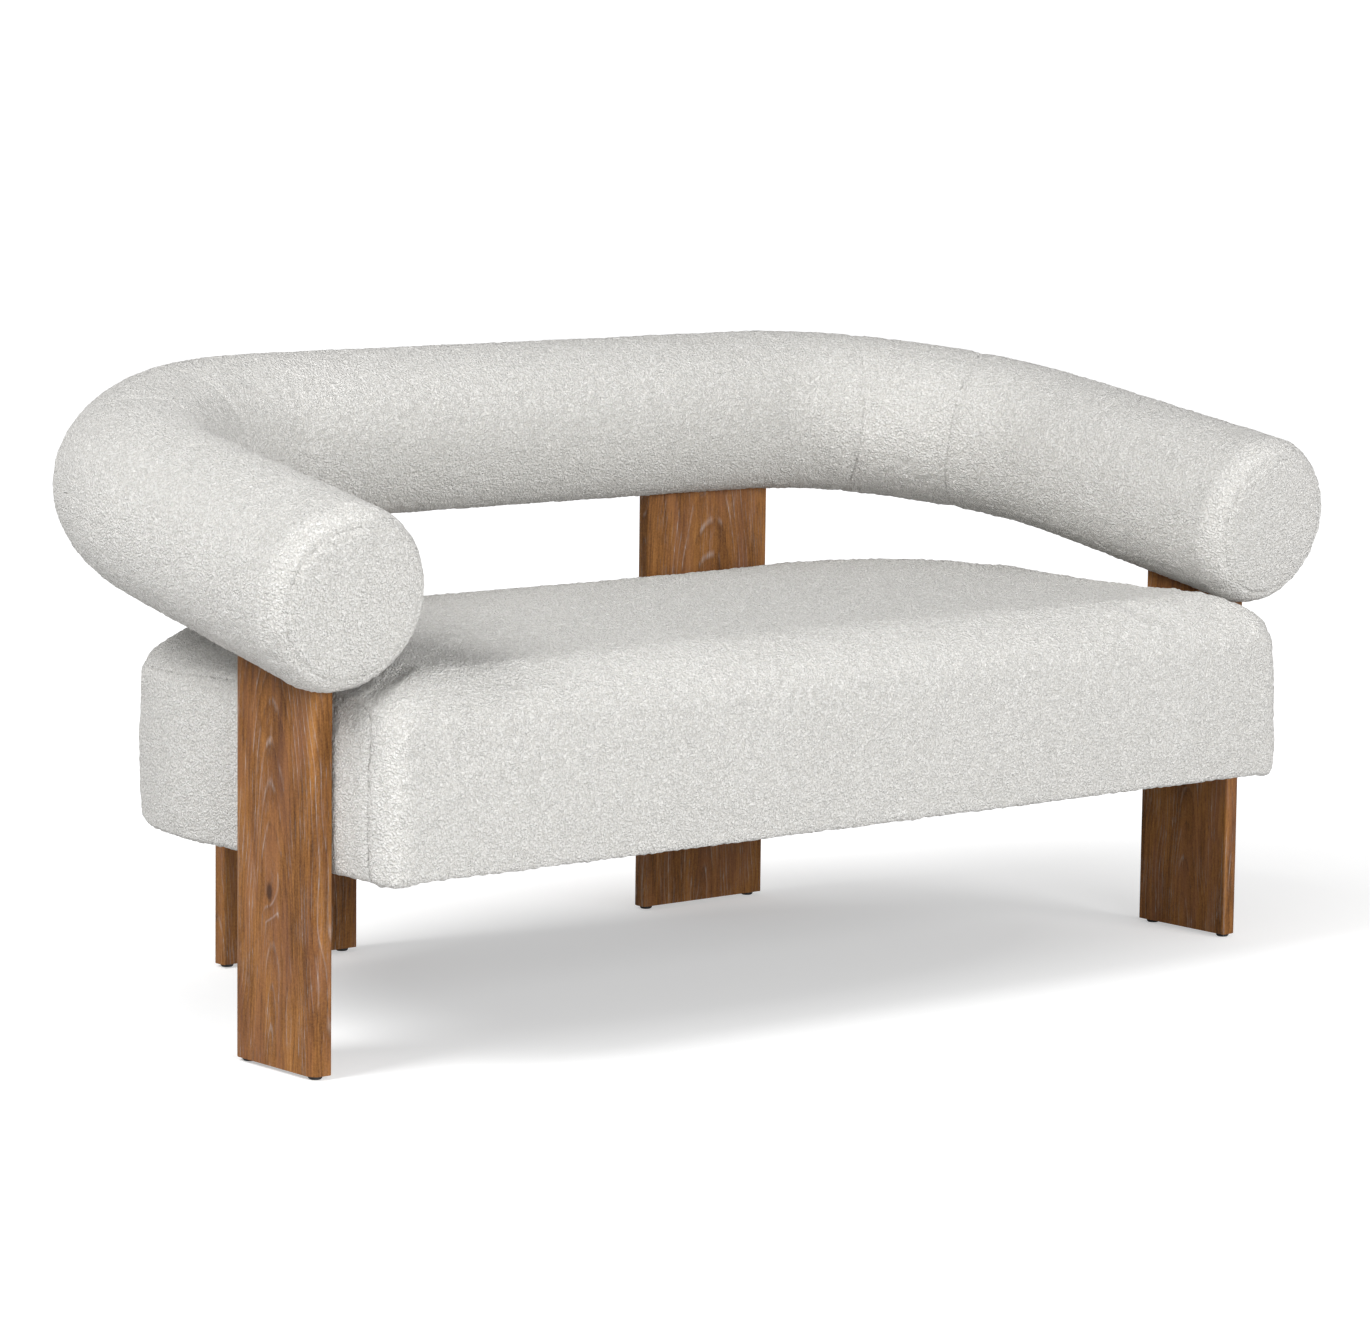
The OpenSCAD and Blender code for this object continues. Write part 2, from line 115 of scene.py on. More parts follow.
# Cloth
CLOTH_FRAMES = 20
CLOTH_GRID = 4  # the cloth is worked out on every fourth point
CLOTH_QUALITY = 5
CLOTH_BENDING = 4
TUBE_SWELL = 0.0012  # the most that the bolster's cloth may move
TUBE_START = TUBE_SWELL * 0.6  # it starts smaller by this
TUBE_PRESSURE = 160
TUBE_STIFFNESS = 7
SEAT_SWELL = 0.007  # the most that the seat's top may move
SIDE_SWELL = 0.0015  # and its sides
SEAT_PRESSURE = 4
SEAT_STIFFNESS = 25

# Seat
EDGE_R = 0.060
TOP_CORNER_R = 0.012
FRONT_R = 0.032
REAR_R = 0.290
SIDE_SEAM_DROP = 0.025
SEAM_CORNER_R = 0.028
SEAM_CORNER_REACH = 0.12
SEAM_FALL = 0.012  # the side seams sink this much towards the back
FALL_FROM = 0.22
FALL_OVER = 0.30
FALL_REACH = 0.045
HEM = 0.030
HEM_R = 0.005
HEM_DROP = 0.0008  # the hem hangs this far below the top panel's CAD piece
HEM_HELD = 0.03
SIDE_BULGE = 0.0028
HEM_PULL = 0.001
CORNER_FILL = 0.003  # the folded corners over the frame stand out this much
CORNER_FILL_W = 0.025
CORNER_FILL_TOP = 0.070
CORNER_FILL_FADE = 0.050
CROWN = 0.004  # the cloth adds the rest of the crown
CROWN_SIDE = 0.30
CROWN_FRONT = 0.25
LEG_GAP = 0.0003
LEG_BULGE = 0.005  # past a leg's edges, the cover may come out this much further
LEG_BULGE_OVER = 0.12
LEG_EDGE_OVER = 0.010
SEAT_SLACK = 0.0045  # the cover's side stands this far inside the legs
SIDE_CLOTH = 0.0045  # thickness of the side panels

# Sheets under the seat
SHEET_CORNER_R = 0.004
SHEET_WAVE = 0.0006
WAVE_SIZE = 0.09
WAVE_SEED = 41

# How much of each soft piece is filled
BOLSTER_FILL = 0.9
SEAT_FILL = 0.8

# Camera: the photograph's line of sight, in degrees, and its place
CAMERA_YAW = 40.25
CAMERA_PITCH = 7.67
CAMERA_ROLL = 0.72
CAMERA_LENS = 135.31
CAMERA_AT = (-3.7924, -4.537, 1.1482)

# Studio
WORLD_LIGHT = 0.32
LIGHT_REACH = 5.6
LIGHT_SIZE = 2.6
LIGHTS = (("key", -90, 40, 236), ("left_fill", -20, 15, 116), ("right_fill", 15, 15, 137))
AIM_Z = 0.35
FLOOR_TONE = 0.70
FLOOR_GLOW = 0.86
# Painted shadow: under the sofa the floor glows less, in a pool so wide and so deep
SHADOW_POOL_GLOW = 0.37
SHADOW_POOL_HALF_W = 1.25
SHADOW_POOL_HALF_D = 0.51
SHADOW_POOL_FADE = (0.45, 1.60)
STUDIO_R = 55.0

# ---- Sizes that follow from these and the frame ----

core_lo, core_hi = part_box("back_core")
cover_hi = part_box("back_cover")[1]
BACK_HALF = core_hi.x
BOLSTER_Y = (core_lo.y + core_hi.y) / 2
BOLSTER_Z = (core_lo.z + core_hi.z) / 2
BACK_R = cover_hi.y - BOLSTER_Y
ARM_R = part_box("right_arm_cover")[1].x - (
    BACK_HALF + BEND_R * math.cos(FLARE) + (ARM_LEN - RIM_R) * math.sin(FLARE)
)

BEND = math.pi / 2 - FLARE
BEND_LEN = BEND_R * BEND
TOTAL = BACK_HALF + BEND_LEN + ARM_LEN
GUSSET_FROM = BACK_HALF + BEND_R * (BEND - GUSSET) / 2
GUSSET_TO = GUSSET_FROM + BEND_R * GUSSET
RIM_TURN = math.acos((CAP_R - ARM_R + RIM_R) / RIM_R)  # how far the rim turns to its seam
RIM_START = TOTAL - RIM_R - (RIM_LEN - RIM_R) * math.sin(RIM_TURN)
RIM_BACK = RIM_R * (1 - math.sin(RIM_TURN))

seat_lo, seat_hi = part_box("seat_top_cover")
HALF_W = seat_hi.x - SEAT_SLACK
FRONT = seat_lo.y
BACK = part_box("seat_left_cover")[1].y
SEAT_BOTTOM = seat_lo.z - HEM_DROP
SEAT_TOP = seat_hi.z


# ---- Seeded noise ----


def lattice(cell, seed):
    """One repeatable random number from 0 to 1 for each lattice point."""
    ix, iy, iz = cell.astype(np.uint32).T
    h = ix * np.uint32(0x8DA6B343) ^ iy * np.uint32(0xD8163841) ^ iz * np.uint32(0xCB1AB31F)
    h += np.uint32(seed * 0x9E3779B1 & 0xFFFFFFFF)
    for shift, factor in ((15, 0x2C1B3C6D), (12, 0x297A2D39)):
        h ^= h >> np.uint32(shift)
        h *= np.uint32(factor)
    h ^= h >> np.uint32(15)
    return h.astype(np.float64) / 0xFFFFFFFF


def smooth_noise(points, size, seed):
    """Smooth noise from -1 to 1 whose lumps are about size across."""
    q = points / size
    base = np.floor(q).astype(np.int64)
    f = q - base
    f = f * f * (3 - 2 * f)
    total = np.zeros(len(points))
    for step in itertools.product((0, 1), repeat=3):
        total += np.where(step, f, 1 - f).prod(1) * lattice(base + step, seed)
    return 2 * total - 1


def loop_noise(points, size, seed):
    """Rounded bumps about size across, 0 between them and 1 on top, as the loops of the pile."""
    q = points / size
    base = np.floor(q).astype(np.int64)
    nearest = np.full(len(points), 9.0)
    for step in itertools.product((-1, 0, 1), repeat=3):
        cell = base + step
        spot = np.stack([lattice(cell, seed + k) for k in range(3)], 1)
        np.minimum(nearest, ((cell + spot - q) ** 2).sum(1), out=nearest)
    return np.clip(1 - nearest / 0.75, 0, 1)


def pile(points):
    """Height of the boucle's loops over its ground, in metres."""
    lumps = sum(height * smooth_noise(points, size, seed) for height, size, seed in LUMPS)
    loops = sum(height * loop_noise(points, size, seed) for height, size, seed in LOOPS)
    return lumps + loops - PILE_BASE


def seam_wobble(points):
    return smooth_noise(points, WOBBLE_SIZE, WOBBLE_SEED)


# ---- Mesh helpers ----


def new_object(name, points, faces):
    mesh = bpy.data.meshes.new(name)
    mesh.from_pydata([tuple(p) for p in points], [], faces)
    mesh.validate()
    mesh.shade_smooth()
    mesh.set_sharp_from_angle(angle=FOLD)
    obj = bpy.data.objects.new(name, mesh)
    bpy.context.scene.collection.objects.link(obj)
    return obj


def quads(ids):
    """Faces over a grid of point numbers."""
    return [
        (int(ids[i, j]), int(ids[i, j + 1]), int(ids[i + 1, j + 1]), int(ids[i + 1, j]))
        for i in range(ids.shape[0] - 1)
        for j in range(ids.shape[1] - 1)
    ]


def grid_faces(nu, nv, wrap):
    """Faces over an nu by nv grid of points, closed along v when wrap is true."""
    ids = np.arange(nu * nv).reshape(nu, nv)
    return quads(np.hstack([ids, ids[:, :1]]) if wrap else ids)


def tube_ends(nu, nv):
    """Fans that close both ends of a grid round a tube, from the two points numbered last."""
    first, last, top = nu * nv, nu * nv + 1, (nu - 1) * nv
    faces = [(first, (j + 1) % nv, j) for j in range(nv)]
    return faces + [(last, top + j, top + (j + 1) % nv) for j in range(nv)]


def unit(v):
    return v / np.maximum(np.linalg.norm(v, axis=-1, keepdims=True), 1e-12)


def steps_round(loop, axis):
    """Step from the point before to the point after, at each point of a closed loop."""
    return np.roll(loop, -1, axis) - np.roll(loop, 1, axis)


def grid_normals(grid, wrap):
    """Unit normals of a grid of points; wrap says that it closes along v."""
    dv = steps_round(grid, 1) if wrap else np.gradient(grid, axis=1)
    return unit(np.cross(dv, np.gradient(grid, axis=0)))


def closed_object(name, points, faces):
    """An object whose mesh is closed, with its faces turned to look outwards."""
    obj = new_object(name, points, faces)
    bm = bmesh.new()
    bm.from_mesh(obj.data)
    bmesh.ops.recalc_face_normals(bm, faces=bm.faces)
    bm.to_mesh(obj.data)
    bm.free()
    return obj


# ---- Cloth ----


def coarse_rows(count):
    """Every fourth row of a grid, and its last."""
    return np.unique(np.append(np.arange(0, count, CLOTH_GRID), count - 1))


def stretch_rows(values, rows, count):
    """Values known on some rows of a grid, brought to all of them."""
    place = np.interp(np.arange(count), rows, np.arange(len(rows)))
    low = np.floor(place).astype(int)
    high = np.minimum(low + 1, len(rows) - 1)
    share = (place - low)[:, None, None]
    return values[low] * (1 - share) + values[high] * share


def spread_columns(values, columns):
    """Stretches a grid of values, taken at every fourth column round a loop, over all columns."""
    place = np.arange(columns) / CLOTH_GRID
    low = np.floor(place).astype(int)
    high = (low + 1) % values.shape[1]
    gap = np.where(high == 0, columns / CLOTH_GRID - low, 1.0)
    share = ((place - low) / gap)[None, :, None]
    return values[:, low] * (1 - share) + values[:, high] * share


def stretch_grid(values, shape):
    """Values known on every fourth row and column of a grid, brought to all of it."""
    for size in shape:
        rows = np.arange(0, size, CLOTH_GRID)
        values = stretch_rows(values, rows, size).transpose(1, 0, 2)
    return values


def stuffed(points, faces, pinned, cap, pressure, stiffness):
    """Move of each point of a closed form of cloth under its filling's pressure.

    The pinned points are held by their seams, and no point moves further than the cap.
    """
    scene = bpy.context.scene
    obj = closed_object("cloth_form", points, faces)
    group = obj.vertex_groups.new(name="seams")
    group.add([int(v) for v in pinned], 1.0, "REPLACE")
    cloth = obj.modifiers.new("cloth", "CLOTH")
    settings = cloth.settings
    settings.vertex_group_mass = "seams"
    settings.use_pressure = True
    settings.uniform_pressure_force = pressure
    settings.effector_weights.gravity = 0
    settings.quality = CLOTH_QUALITY
    settings.tension_stiffness = settings.compression_stiffness = stiffness
    settings.shear_stiffness = stiffness / 2
    settings.bending_stiffness = CLOTH_BENDING
    cloth.point_cache.frame_start = 1
    cloth.point_cache.frame_end = CLOTH_FRAMES
    for number in range(1, CLOTH_FRAMES + 1):
        scene.frame_set(number)
    settled = obj.evaluated_get(bpy.context.evaluated_depsgraph_get()).data
    flat = np.empty(len(points) * 3)
    settled.vertices.foreach_get("co", flat)
    moved = flat.reshape(-1, 3) - points
    mesh = obj.data
    bpy.data.objects.remove(obj)
    bpy.data.meshes.remove(mesh)
    scene.frame_set(1)
    length = np.linalg.norm(moved, axis=1)
    return moved * np.minimum(1, cap / np.maximum(length, 1e-9))[:, None]


# ---- Bolster ----


def bolster_path(a):
    """Centre line of the bolster's right half, at distances a from the middle of the back.

    Gives points, outward directions and directions of travel, in the bolster's own plane.
    """
    a = np.asarray(a, float)
    angle = np.clip((a - BACK_HALF) / BEND_R, 0, BEND)
    ahead = np.maximum(a - BACK_HALF - BEND_LEN, 0)
    x = np.minimum(a, BACK_HALF) + BEND_R * np.sin(angle) + ahead * math.sin(FLARE)
    y = BEND_R * (np.cos(angle) - 1) - ahead * math.cos(FLARE)
    out = np.stack([np.sin(angle), np.cos(angle), 0 * angle], -1)
    along = np.stack([np.cos(angle), -np.sin(angle), 0 * angle], -1)
    share = np.clip((a - GUSSET_FROM) / (GUSSET_TO - GUSSET_FROM), 0, 1)
    pulled = GUSSET_PULL * 4 * share * (1 - share)
    return np.stack([x, y, 0 * x], -1) - out * pulled[..., None], out, along


def cross_section(a, side):
    """Centre, outward direction and direction of travel at one place on the side given."""
    section = bolster_path(np.array([a]))
    for v in section:
        v[:, 0] *= side
    return section


def bolster_radius(a):
    """Radius of the bolster before its filling swells it."""
    grow = np.clip((a - BACK_HALF - BEND_LEN) / ARM_LEN, 0, 1)
    return BACK_R + (ARM_R - BACK_R) * grow - TUBE_START


def to_world(local):
    """From the bolster's own plane to the row frame."""
    c, s = math.cos(TILT), math.sin(TILT)
    x, y, z = local[..., 0], local[..., 1], local[..., 2]
    return np.stack([x, BOLSTER_Y + c * y - s * z, BOLSTER_Z + s * y + c * z], -1)


def seam_dip(d, wobble):
    """How far the cover sinks at a distance d from a seam; it swells a little beside it."""
    d = np.abs(d)
    groove = SEAM_IN * np.exp(-((d / SEAM_HALF_W) ** 2)) * (1 + WOBBLE * wobble)
    return SHOULDER * np.exp(-(((d - SHOULDER_AT) / SHOULDER_HALF_W) ** 2)) - groove


def ring_round(phi, out):
    """Directions at the angles phi round a cross section, from its outward direction."""
    return np.cos(phi)[:, None] * out + np.sin(phi)[:, None] * UP


def tube_grid(a, side):
    """Grid of points round the bolster at each distance in a, signed to the side given."""
    around = int(2 * math.pi * BACK_R / STEP)
    phi = np.linspace(0, 2 * math.pi, around, endpoint=False)
    centre, out, _ = bolster_path(np.abs(a))
    sign = np.where(np.asarray(a) < 0, -1.0, 1.0) * side
    centre[:, 0] *= sign
    out[:, 0] *= sign
    ring = ring_round(phi, out[:, None])
    return centre[:, None] + bolster_radius(np.abs(a))[:, None, None] * ring, ring, phi


def spread(start, end, step=STEP):
    return np.linspace(start, end, max(2, int(round(abs(end - start) / step)) + 1))


def tube_swell(points):
    """Move of each point of a tube when its filling presses out between its two end seams."""
    nu, nv, _ = points.shape
    rows = coarse_rows(nu)
    coarse = points[rows][:, ::CLOTH_GRID]
    cu, cv, _ = coarse.shape
    form = np.vstack([coarse.reshape(-1, 3), coarse[0].mean(0), coarse[-1].mean(0)])
    faces = grid_faces(cu, cv, True) + tube_ends(cu, cv)
    pinned = list(range(cv)) + list(range((cu - 1) * cv, cu * cv + 2))
    moved = stuffed(form, faces, pinned, TUBE_SWELL, TUBE_PRESSURE, TUBE_STIFFNESS)
    moved = moved[: cu * cv].reshape(cu, cv, 3)
    return spread_columns(stretch_rows(moved, rows, nu), nv)


def closed_tube(name, points):
    """A tube of fabric whose two ends are closed."""
    nu, nv, _ = points.shape
    start, end = points[0].mean(0), points[-1].mean(0)
    inward = END_INSET * unit(end - start)
    everything = np.vstack([points.reshape(-1, 3), start + inward, end - inward])
    return closed_object(name, everything, grid_faces(nu, nv, True) + tube_ends(nu, nv))


def finish_tube(name, grid, wall, dips, seam_scale=(GUSSET_SEAM, GUSSET_SEAM)):
    """Swells a tube of fabric and adds its seams' dips and its pile; wall points outwards."""
    nu, nv, _ = grid.shape
    points = to_world(grid)
    points = points + tube_swell(points)
    flat = points.reshape(-1, 3)
    wobble = seam_wobble(flat).reshape(nu, nv)
    move = pile(flat).reshape(nu, nv)
    for d, scale in zip(dips, seam_scale):
        move += scale * seam_dip(d, wobble)
    world_wall = to_world(grid + wall) - points
    return closed_tube(name, points + world_wall * move[..., None])


def bolster_panel(name, start, end, side):
    """A plain stretch of the bolster between two seams."""
    a = spread(start, end)
    grid, wall, _ = tube_grid(a, side)
    return finish_tube(name, grid, wall, [(a - start)[:, None], (a - end)[:, None]])


def arm_rim(phi, side):
    """The rim of an arm's end: points, outward directions and distances to the end's seam."""
    centre, out, along = cross_section(RIM_START, side)
    ring = ring_round(phi, out)
    turns = spread(0, RIM_TURN, STEP / RIM_R)[1:]
    rim, wall = [], []
    for t in turns:
        r = ARM_R - RIM_R + RIM_R * math.cos(t)
        rim.append(centre + along * RIM_LEN * math.sin(t) + r * ring)
        outward = ring * math.cos(t) + along * math.sin(t) * RIM_R / RIM_LEN
        wall.append(unit(outward))
    return np.array(rim), np.array(wall), RIM_R * (turns[-1] - turns)


def bolster_arm(side, word):
    """Arm panel: the last of the bend, the straight arm and the rim up to the end's seam."""
    a = spread(GUSSET_TO, RIM_START)
    grid, wall, phi = tube_grid(a, side)
    rim, rim_wall, rim_to_cap = arm_rim(phi, side)
    from_gusset = np.concatenate([a - GUSSET_TO, np.full(len(rim), FAR)])
    to_cap = np.concatenate([np.full(len(a), FAR), rim_to_cap])
    return finish_tube(
        "bolster_arm_" + word,
        np.concatenate([grid, rim]),
        np.concatenate([wall, rim_wall]),
        [from_gusset[:, None], to_cap[:, None]],
        (GUSSET_SEAM, END_SEAM),
    )


def disc_points(n):
    """A square grid mapped onto the unit disc, so that its cells stay even."""
    s = np.linspace(-1, 1, n)
    u, v = np.meshgrid(s, s, indexing="ij")
    return np.stack([u * np.sqrt(1 - v * v / 2), v * np.sqrt(1 - u * u / 2)], -1)


def disc_edge(n):
    """Rows and columns of the points on the border of an n by n grid, in order."""
    edge = [(i, 0) for i in range(n)]
    edge += [(n - 1, j) for j in range(1, n)]
    edge += [(i, n - 1) for i in range(n - 2, -1, -1)]
    return edge + [(0, j) for j in range(n - 2, 0, -1)]


def closed_disc(name, front, back):
    """A disc of fabric closed behind, from the grids of its front and of its back."""
    n = len(front)
    edge = disc_edge(n)
    base, count = n * n, len(edge)
    faces = grid_faces(n, n, False)
    for k, (i, j) in enumerate(edge):
        after = (k + 1) % count
        i2, j2 = edge[after]
        faces.append((i * n + j, i2 * n + j2, base + after, base + k))
        faces.append((base + k, base + after, base + count))
    inner = np.array([back[i, j] for i, j in edge])
    return closed_object(name, np.vstack([front.reshape(-1, 3), inner, inner.mean(0)]), faces)


def bolster_end(side, word):
    """Slightly domed disc sewn into the arm's end."""
    n = int(2 * CAP_R / STEP) + 1
    disc = disc_points(n)
    rho = np.linalg.norm(disc, axis=2)
    centre, out, along = (v[0] for v in cross_section(TOTAL, side))
    lift = CAP_DOME * (1 - rho**2) - RIM_BACK * rho**4
    front = centre + CAP_R * (disc[..., :1] * out + disc[..., 1:] * UP) + along * lift[..., None]
    points = to_world(front)
    flat = points.reshape(-1, 3)
    wobble = seam_wobble(flat).reshape(n, n)
    move = END_SEAM * seam_dip((1 - rho) * CAP_R, wobble) + pile(flat).reshape(n, n)
    direction = to_world(front + along) - points
    back = to_world(front - along * CAP_DEPTH)
    return closed_disc("bolster_end_" + word, points + direction * move[..., None], back)


# ---- Seat ----


def corner(cx, cy, r, start, count):
    """Quarter circle of count steps, anticlockwise from start, without its last point."""
    t = math.radians(start) + np.linspace(0, math.pi / 2, count, endpoint=False)
    return np.stack([cx + r * np.cos(t), cy + r * np.sin(t)], -1)


def line(a, b, count):
    t = np.linspace(0, 1, count, endpoint=False)[:, None]
    return (1 - t) * np.array(a) + t * np.array(b)


class SeatPlan:
    """Counts of mesh steps along each stretch of the seat's outline, and where its seams are."""

    def __init__(self):
        eighths = CLOTH_GRID * 2
        self.front_arc = eighths * max(1, round(FRONT_R * math.pi / 2 / STEP / eighths))
        self.rear_arc = eighths * round(REAR_R * math.pi / 2 / STEP / eighths)
        self.front = eighths * round(2 * (HALF_W - FRONT_R) / STEP / eighths)
        self.side = CLOTH_GRID * round((BACK - REAR_R - FRONT - FRONT_R) / STEP / CLOTH_GRID)
        self.back = self.front + self.front_arc - self.rear_arc
        self.total = (
            self.front + 2 * self.front_arc + 2 * self.side + 2 * self.rear_arc + self.back
        )
        # The outline starts at the middle of the front's left corner.
        self.right_seam = self.front_arc // 2 + self.front + self.front_arc + 1
        self.left_seam = self.total - self.front_arc // 2 - 1
        self.back_middle = (self.right_seam + self.left_seam) // 2

    def outline(self, inset, front_r, rear_r):
        w, f, b = HALF_W - inset, FRONT + inset, BACK - inset
        loop = np.concatenate(
            [
                corner(-w + front_r, f + front_r, front_r, 180, self.front_arc),
                line((-w + front_r, f), (w - front_r, f), self.front),
                corner(w - front_r, f + front_r, front_r, 270, self.front_arc),
                line((w, f + front_r), (w, b - rear_r), self.side),
                corner(w - rear_r, b - rear_r, rear_r, 0, self.rear_arc),
                line((w - rear_r, b), (-w + rear_r, b), self.back),
                corner(-w + rear_r, b - rear_r, rear_r, 90, self.rear_arc),
                line((-w, b - rear_r), (-w, f + front_r), self.side),
            ]
        )
        return np.roll(loop, -(self.front_arc // 2), axis=0)


def loop_normals(loop):
    t = steps_round(loop, 0)
    return unit(np.stack([t[:, 1], -t[:, 0]], -1))


def seat_profile():
    """Rows from the hem to the seat's top: share of the way out, extra outward shift, height."""
    straight = SEAT_TOP - EDGE_R - SEAT_BOTTOM - HEM_R
    rows = []
    for s in spread(-HEM, -HEM_R)[:-1]:
        rows.append((1, s, SEAT_BOTTOM))
    for t in spread(0, math.pi / 2, STEP / HEM_R)[:-1]:
        rows.append((1, HEM_R * (math.sin(t) - 1), SEAT_BOTTOM + HEM_R * (1 - math.cos(t))))
    for s in spread(0, straight)[:-1]:
        rows.append((1, 0, SEAT_BOTTOM + HEM_R + s))
    for t in spread(0, math.pi / 2, STEP / EDGE_R):
        rows.append((math.cos(t), 0, SEAT_TOP - EDGE_R + EDGE_R * math.sin(t)))
    return np.array(rows)


def side_swell(z):
    """The padding swells the side between the hem and the top edge."""
    up = np.clip((z - SEAT_BOTTOM) / (SEAT_TOP - EDGE_R - SEAT_BOTTOM), 0, 1)
    return SIDE_BULGE * np.sin(np.pi * up**0.8) - HEM_PULL * (1 - up) ** 3


def coons(plan, loop):
    """Fills the outline's inside with an even grid, from its four corners' boundaries."""
    across = plan.front + plan.front_arc
    deep = plan.side + (plan.front_arc + plan.rear_arc) // 2
    front, right = loop[: across + 1], loop[across : across + deep + 1]
    back = loop[across + deep : 2 * across + deep + 1][::-1]
    left = np.concatenate([loop[2 * across + deep :], loop[:1]])[::-1]
    a = np.linspace(0, 1, across + 1)[None, :, None]
    b = np.linspace(0, 1, deep + 1)[:, None, None]
    blend = (1 - b) * front[None] + b * back[None] + (1 - a) * left[:, None] + a * right[:, None]
    nearer = (1 - a) * front[0] + a * front[-1]
    further = (1 - a) * back[0] + a * back[-1]
    return blend - (1 - b) * nearer - b * further


def smooth_step(x):
    x = np.clip(x, 0, 1)
    return x * x * (3 - 2 * x)


def round_seam_corner(behind, below):
    """Bends the seam's square corner into an arc: shifts for points behind and below it."""

    def shift(one, other):
        turn = np.clip(1 - one / SEAM_CORNER_R, 0, 1) * math.pi / 4
        return SEAM_CORNER_R * (1 - np.cos(turn)) * np.exp(-np.abs(other) / SEAM_CORNER_R)

    near = (np.abs(behind) < SEAM_CORNER_REACH) & (np.abs(below) < SEAM_CORNER_REACH)
    return np.where(near, shift(below, behind), 0), np.where(near, shift(behind, below), 0)


def build_seat():
    """The seat's top panel and its two side panels, in one surface cut along its seams."""
    plan = SeatPlan()
    outer = plan.outline(0, FRONT_R, REAR_R)
    inner = plan.outline(EDGE_R, TOP_CORNER_R, REAR_R - EDGE_R)
    normal = loop_normals(outer)
    rows = seat_profile()
    share, shift, z = rows[:, 0], rows[:, 1], rows[:, 2]
    shift = shift + side_swell(z) * share
    xy = inner[None] + (outer - inner)[None] * share[:, None, None]
    xy = xy + normal[None] * shift[:, None, None]
    band = np.concatenate([xy, np.broadcast_to(z[:, None, None], xy.shape[:2] + (1,))], 2)
    return plan, band, coons(plan, inner)


class SeatSeams:
    """Where each point of the seat's band lies from the seams, in metres along the cover."""

    def __init__(self, plan, band):
        height = band[:, 0, 2]
        self.row = int(np.argmin(np.abs(height - (SEAT_TOP - SIDE_SEAM_DROP))))
        up = np.linalg.norm(np.diff(band[:, 0], axis=0), axis=1)
        up = np.concatenate([[0], np.cumsum(up)])
        loop = band[self.row]
        round_it = np.linalg.norm(np.roll(loop, -1, 0) - loop, axis=1)
        round_it = np.concatenate([[0], np.cumsum(round_it)])[:-1]
        index = np.arange(plan.total)
        across = plan.front + plan.front_arc
        self.right = (index >= across // 2) & (index <= plan.back_middle)
        mirror = np.where(self.right, index, (across - index) % plan.total)
        self.below = up[self.row] - up
        self.behind = round_it[mirror] - round_it[plan.right_seam]
        self.from_back = np.abs(round_it[mirror] - round_it[plan.back_middle])

    def bend(self, band):
        """Moves the mesh along the surface, so that a side seam turns in an arc and then falls."""
        behind, below = self.behind[None, :], self.below[:, None]
        back_shift, down_shift = round_seam_corner(behind, below)
        fall = SEAM_FALL * smooth_step((behind - FALL_FROM) / FALL_OVER)
        down_shift = down_shift + fall * np.exp(-np.abs(below) / FALL_REACH)
        along = unit(steps_round(band, 1))
        along[:, ~self.right] *= -1
        rise = unit(np.gradient(band, axis=0))
        return band + back_shift[..., None] * along - down_shift[..., None] * rise

    def distance(self):
        """Distance of every point to the nearest seam."""
        row, column = np.abs(self.below)[:, None], np.abs(self.behind)[None, :]
        upper = (self.below <= 0)[:, None]
        panel = np.minimum(np.minimum(row, column), self.from_back[None, :])
        on_side = np.where(upper, row, panel)
        on_front = np.where(upper, np.hypot(row, column), column)
        return np.where((self.behind >= 0)[None, :], on_side, on_front)


def crowned_top(top_xy):
    """The seat's top, a little higher in its middle."""
    deep, across = top_xy.shape[:2]
    u, v = np.linspace(0, 1, across), np.linspace(0, 1, deep)
    from_side = np.minimum(u, 1 - u) * 2 * HALF_W
    from_front = np.minimum(v, 1 - v) * (BACK - FRONT)
    crown = CROWN * smooth_step(from_side / CROWN_SIDE)[None, :]
    crown = crown * smooth_step(from_front / CROWN_FRONT)[:, None]
    return np.concatenate([top_xy, (SEAT_TOP + crown)[..., None]], 2)


def top_ids(shape, last, total):
    """Point numbers of the top's grid; its border takes those of the band's last row."""
    deep, across = shape
    ids = np.arange(deep * across).reshape(deep, across) + last + total
    a, b = across - 1, deep - 1
    ids[0, :] = last + np.arange(a + 1)
    ids[:, -1] = last + a + np.arange(b + 1)
    ids[-1, ::-1] = last + a + b + np.arange(a + 1)
    ids[::-1, 0] = last + (2 * a + b + np.arange(b + 1)) % total
    return ids


def seat_swell(band, top, d_band):
    """Move of the seat's band and top when its foam presses out between the seams and the hem."""
    rows, total = band.shape[:2]
    at = coarse_rows(rows)
    side = band[at][:, ::CLOTH_GRID]
    lid = top[::CLOTH_GRID, ::CLOTH_GRID]
    cu, cv = side.shape[:2]
    ids = top_ids(lid.shape[:2], (cu - 1) * cv, cv)
    points = np.vstack([side.reshape(-1, 3), lid.reshape(-1, 3), [[0, 0, SEAT_BOTTOM]]])
    faces = grid_faces(cu, cv, True) + quads(ids)
    bottom = len(points) - 1
    faces += [(bottom, (j + 1) % cv, j) for j in range(cv)]
    near_seam = d_band[at][:, ::CLOTH_GRID].reshape(-1) < CLOTH_GRID * STEP / 2
    held = list(np.nonzero(near_seam)[0]) + list(range(cv)) + [bottom]
    height = smooth_step((points[:, 2] - SEAT_TOP + EDGE_R) / EDGE_R)
    cap = SIDE_SWELL + (SEAT_SWELL - SIDE_SWELL) * height
    cap *= smooth_step((points[:, 2] - SEAT_BOTTOM) / HEM_HELD)
    moved = stuffed(points, faces, held, cap, SEAT_PRESSURE, SEAT_STIFFNESS)
    band_move = spread_columns(stretch_rows(moved[: cu * cv].reshape(cu, cv, 3), at, rows), total)
    return band_move, stretch_grid(moved[ids], top.shape[:2])


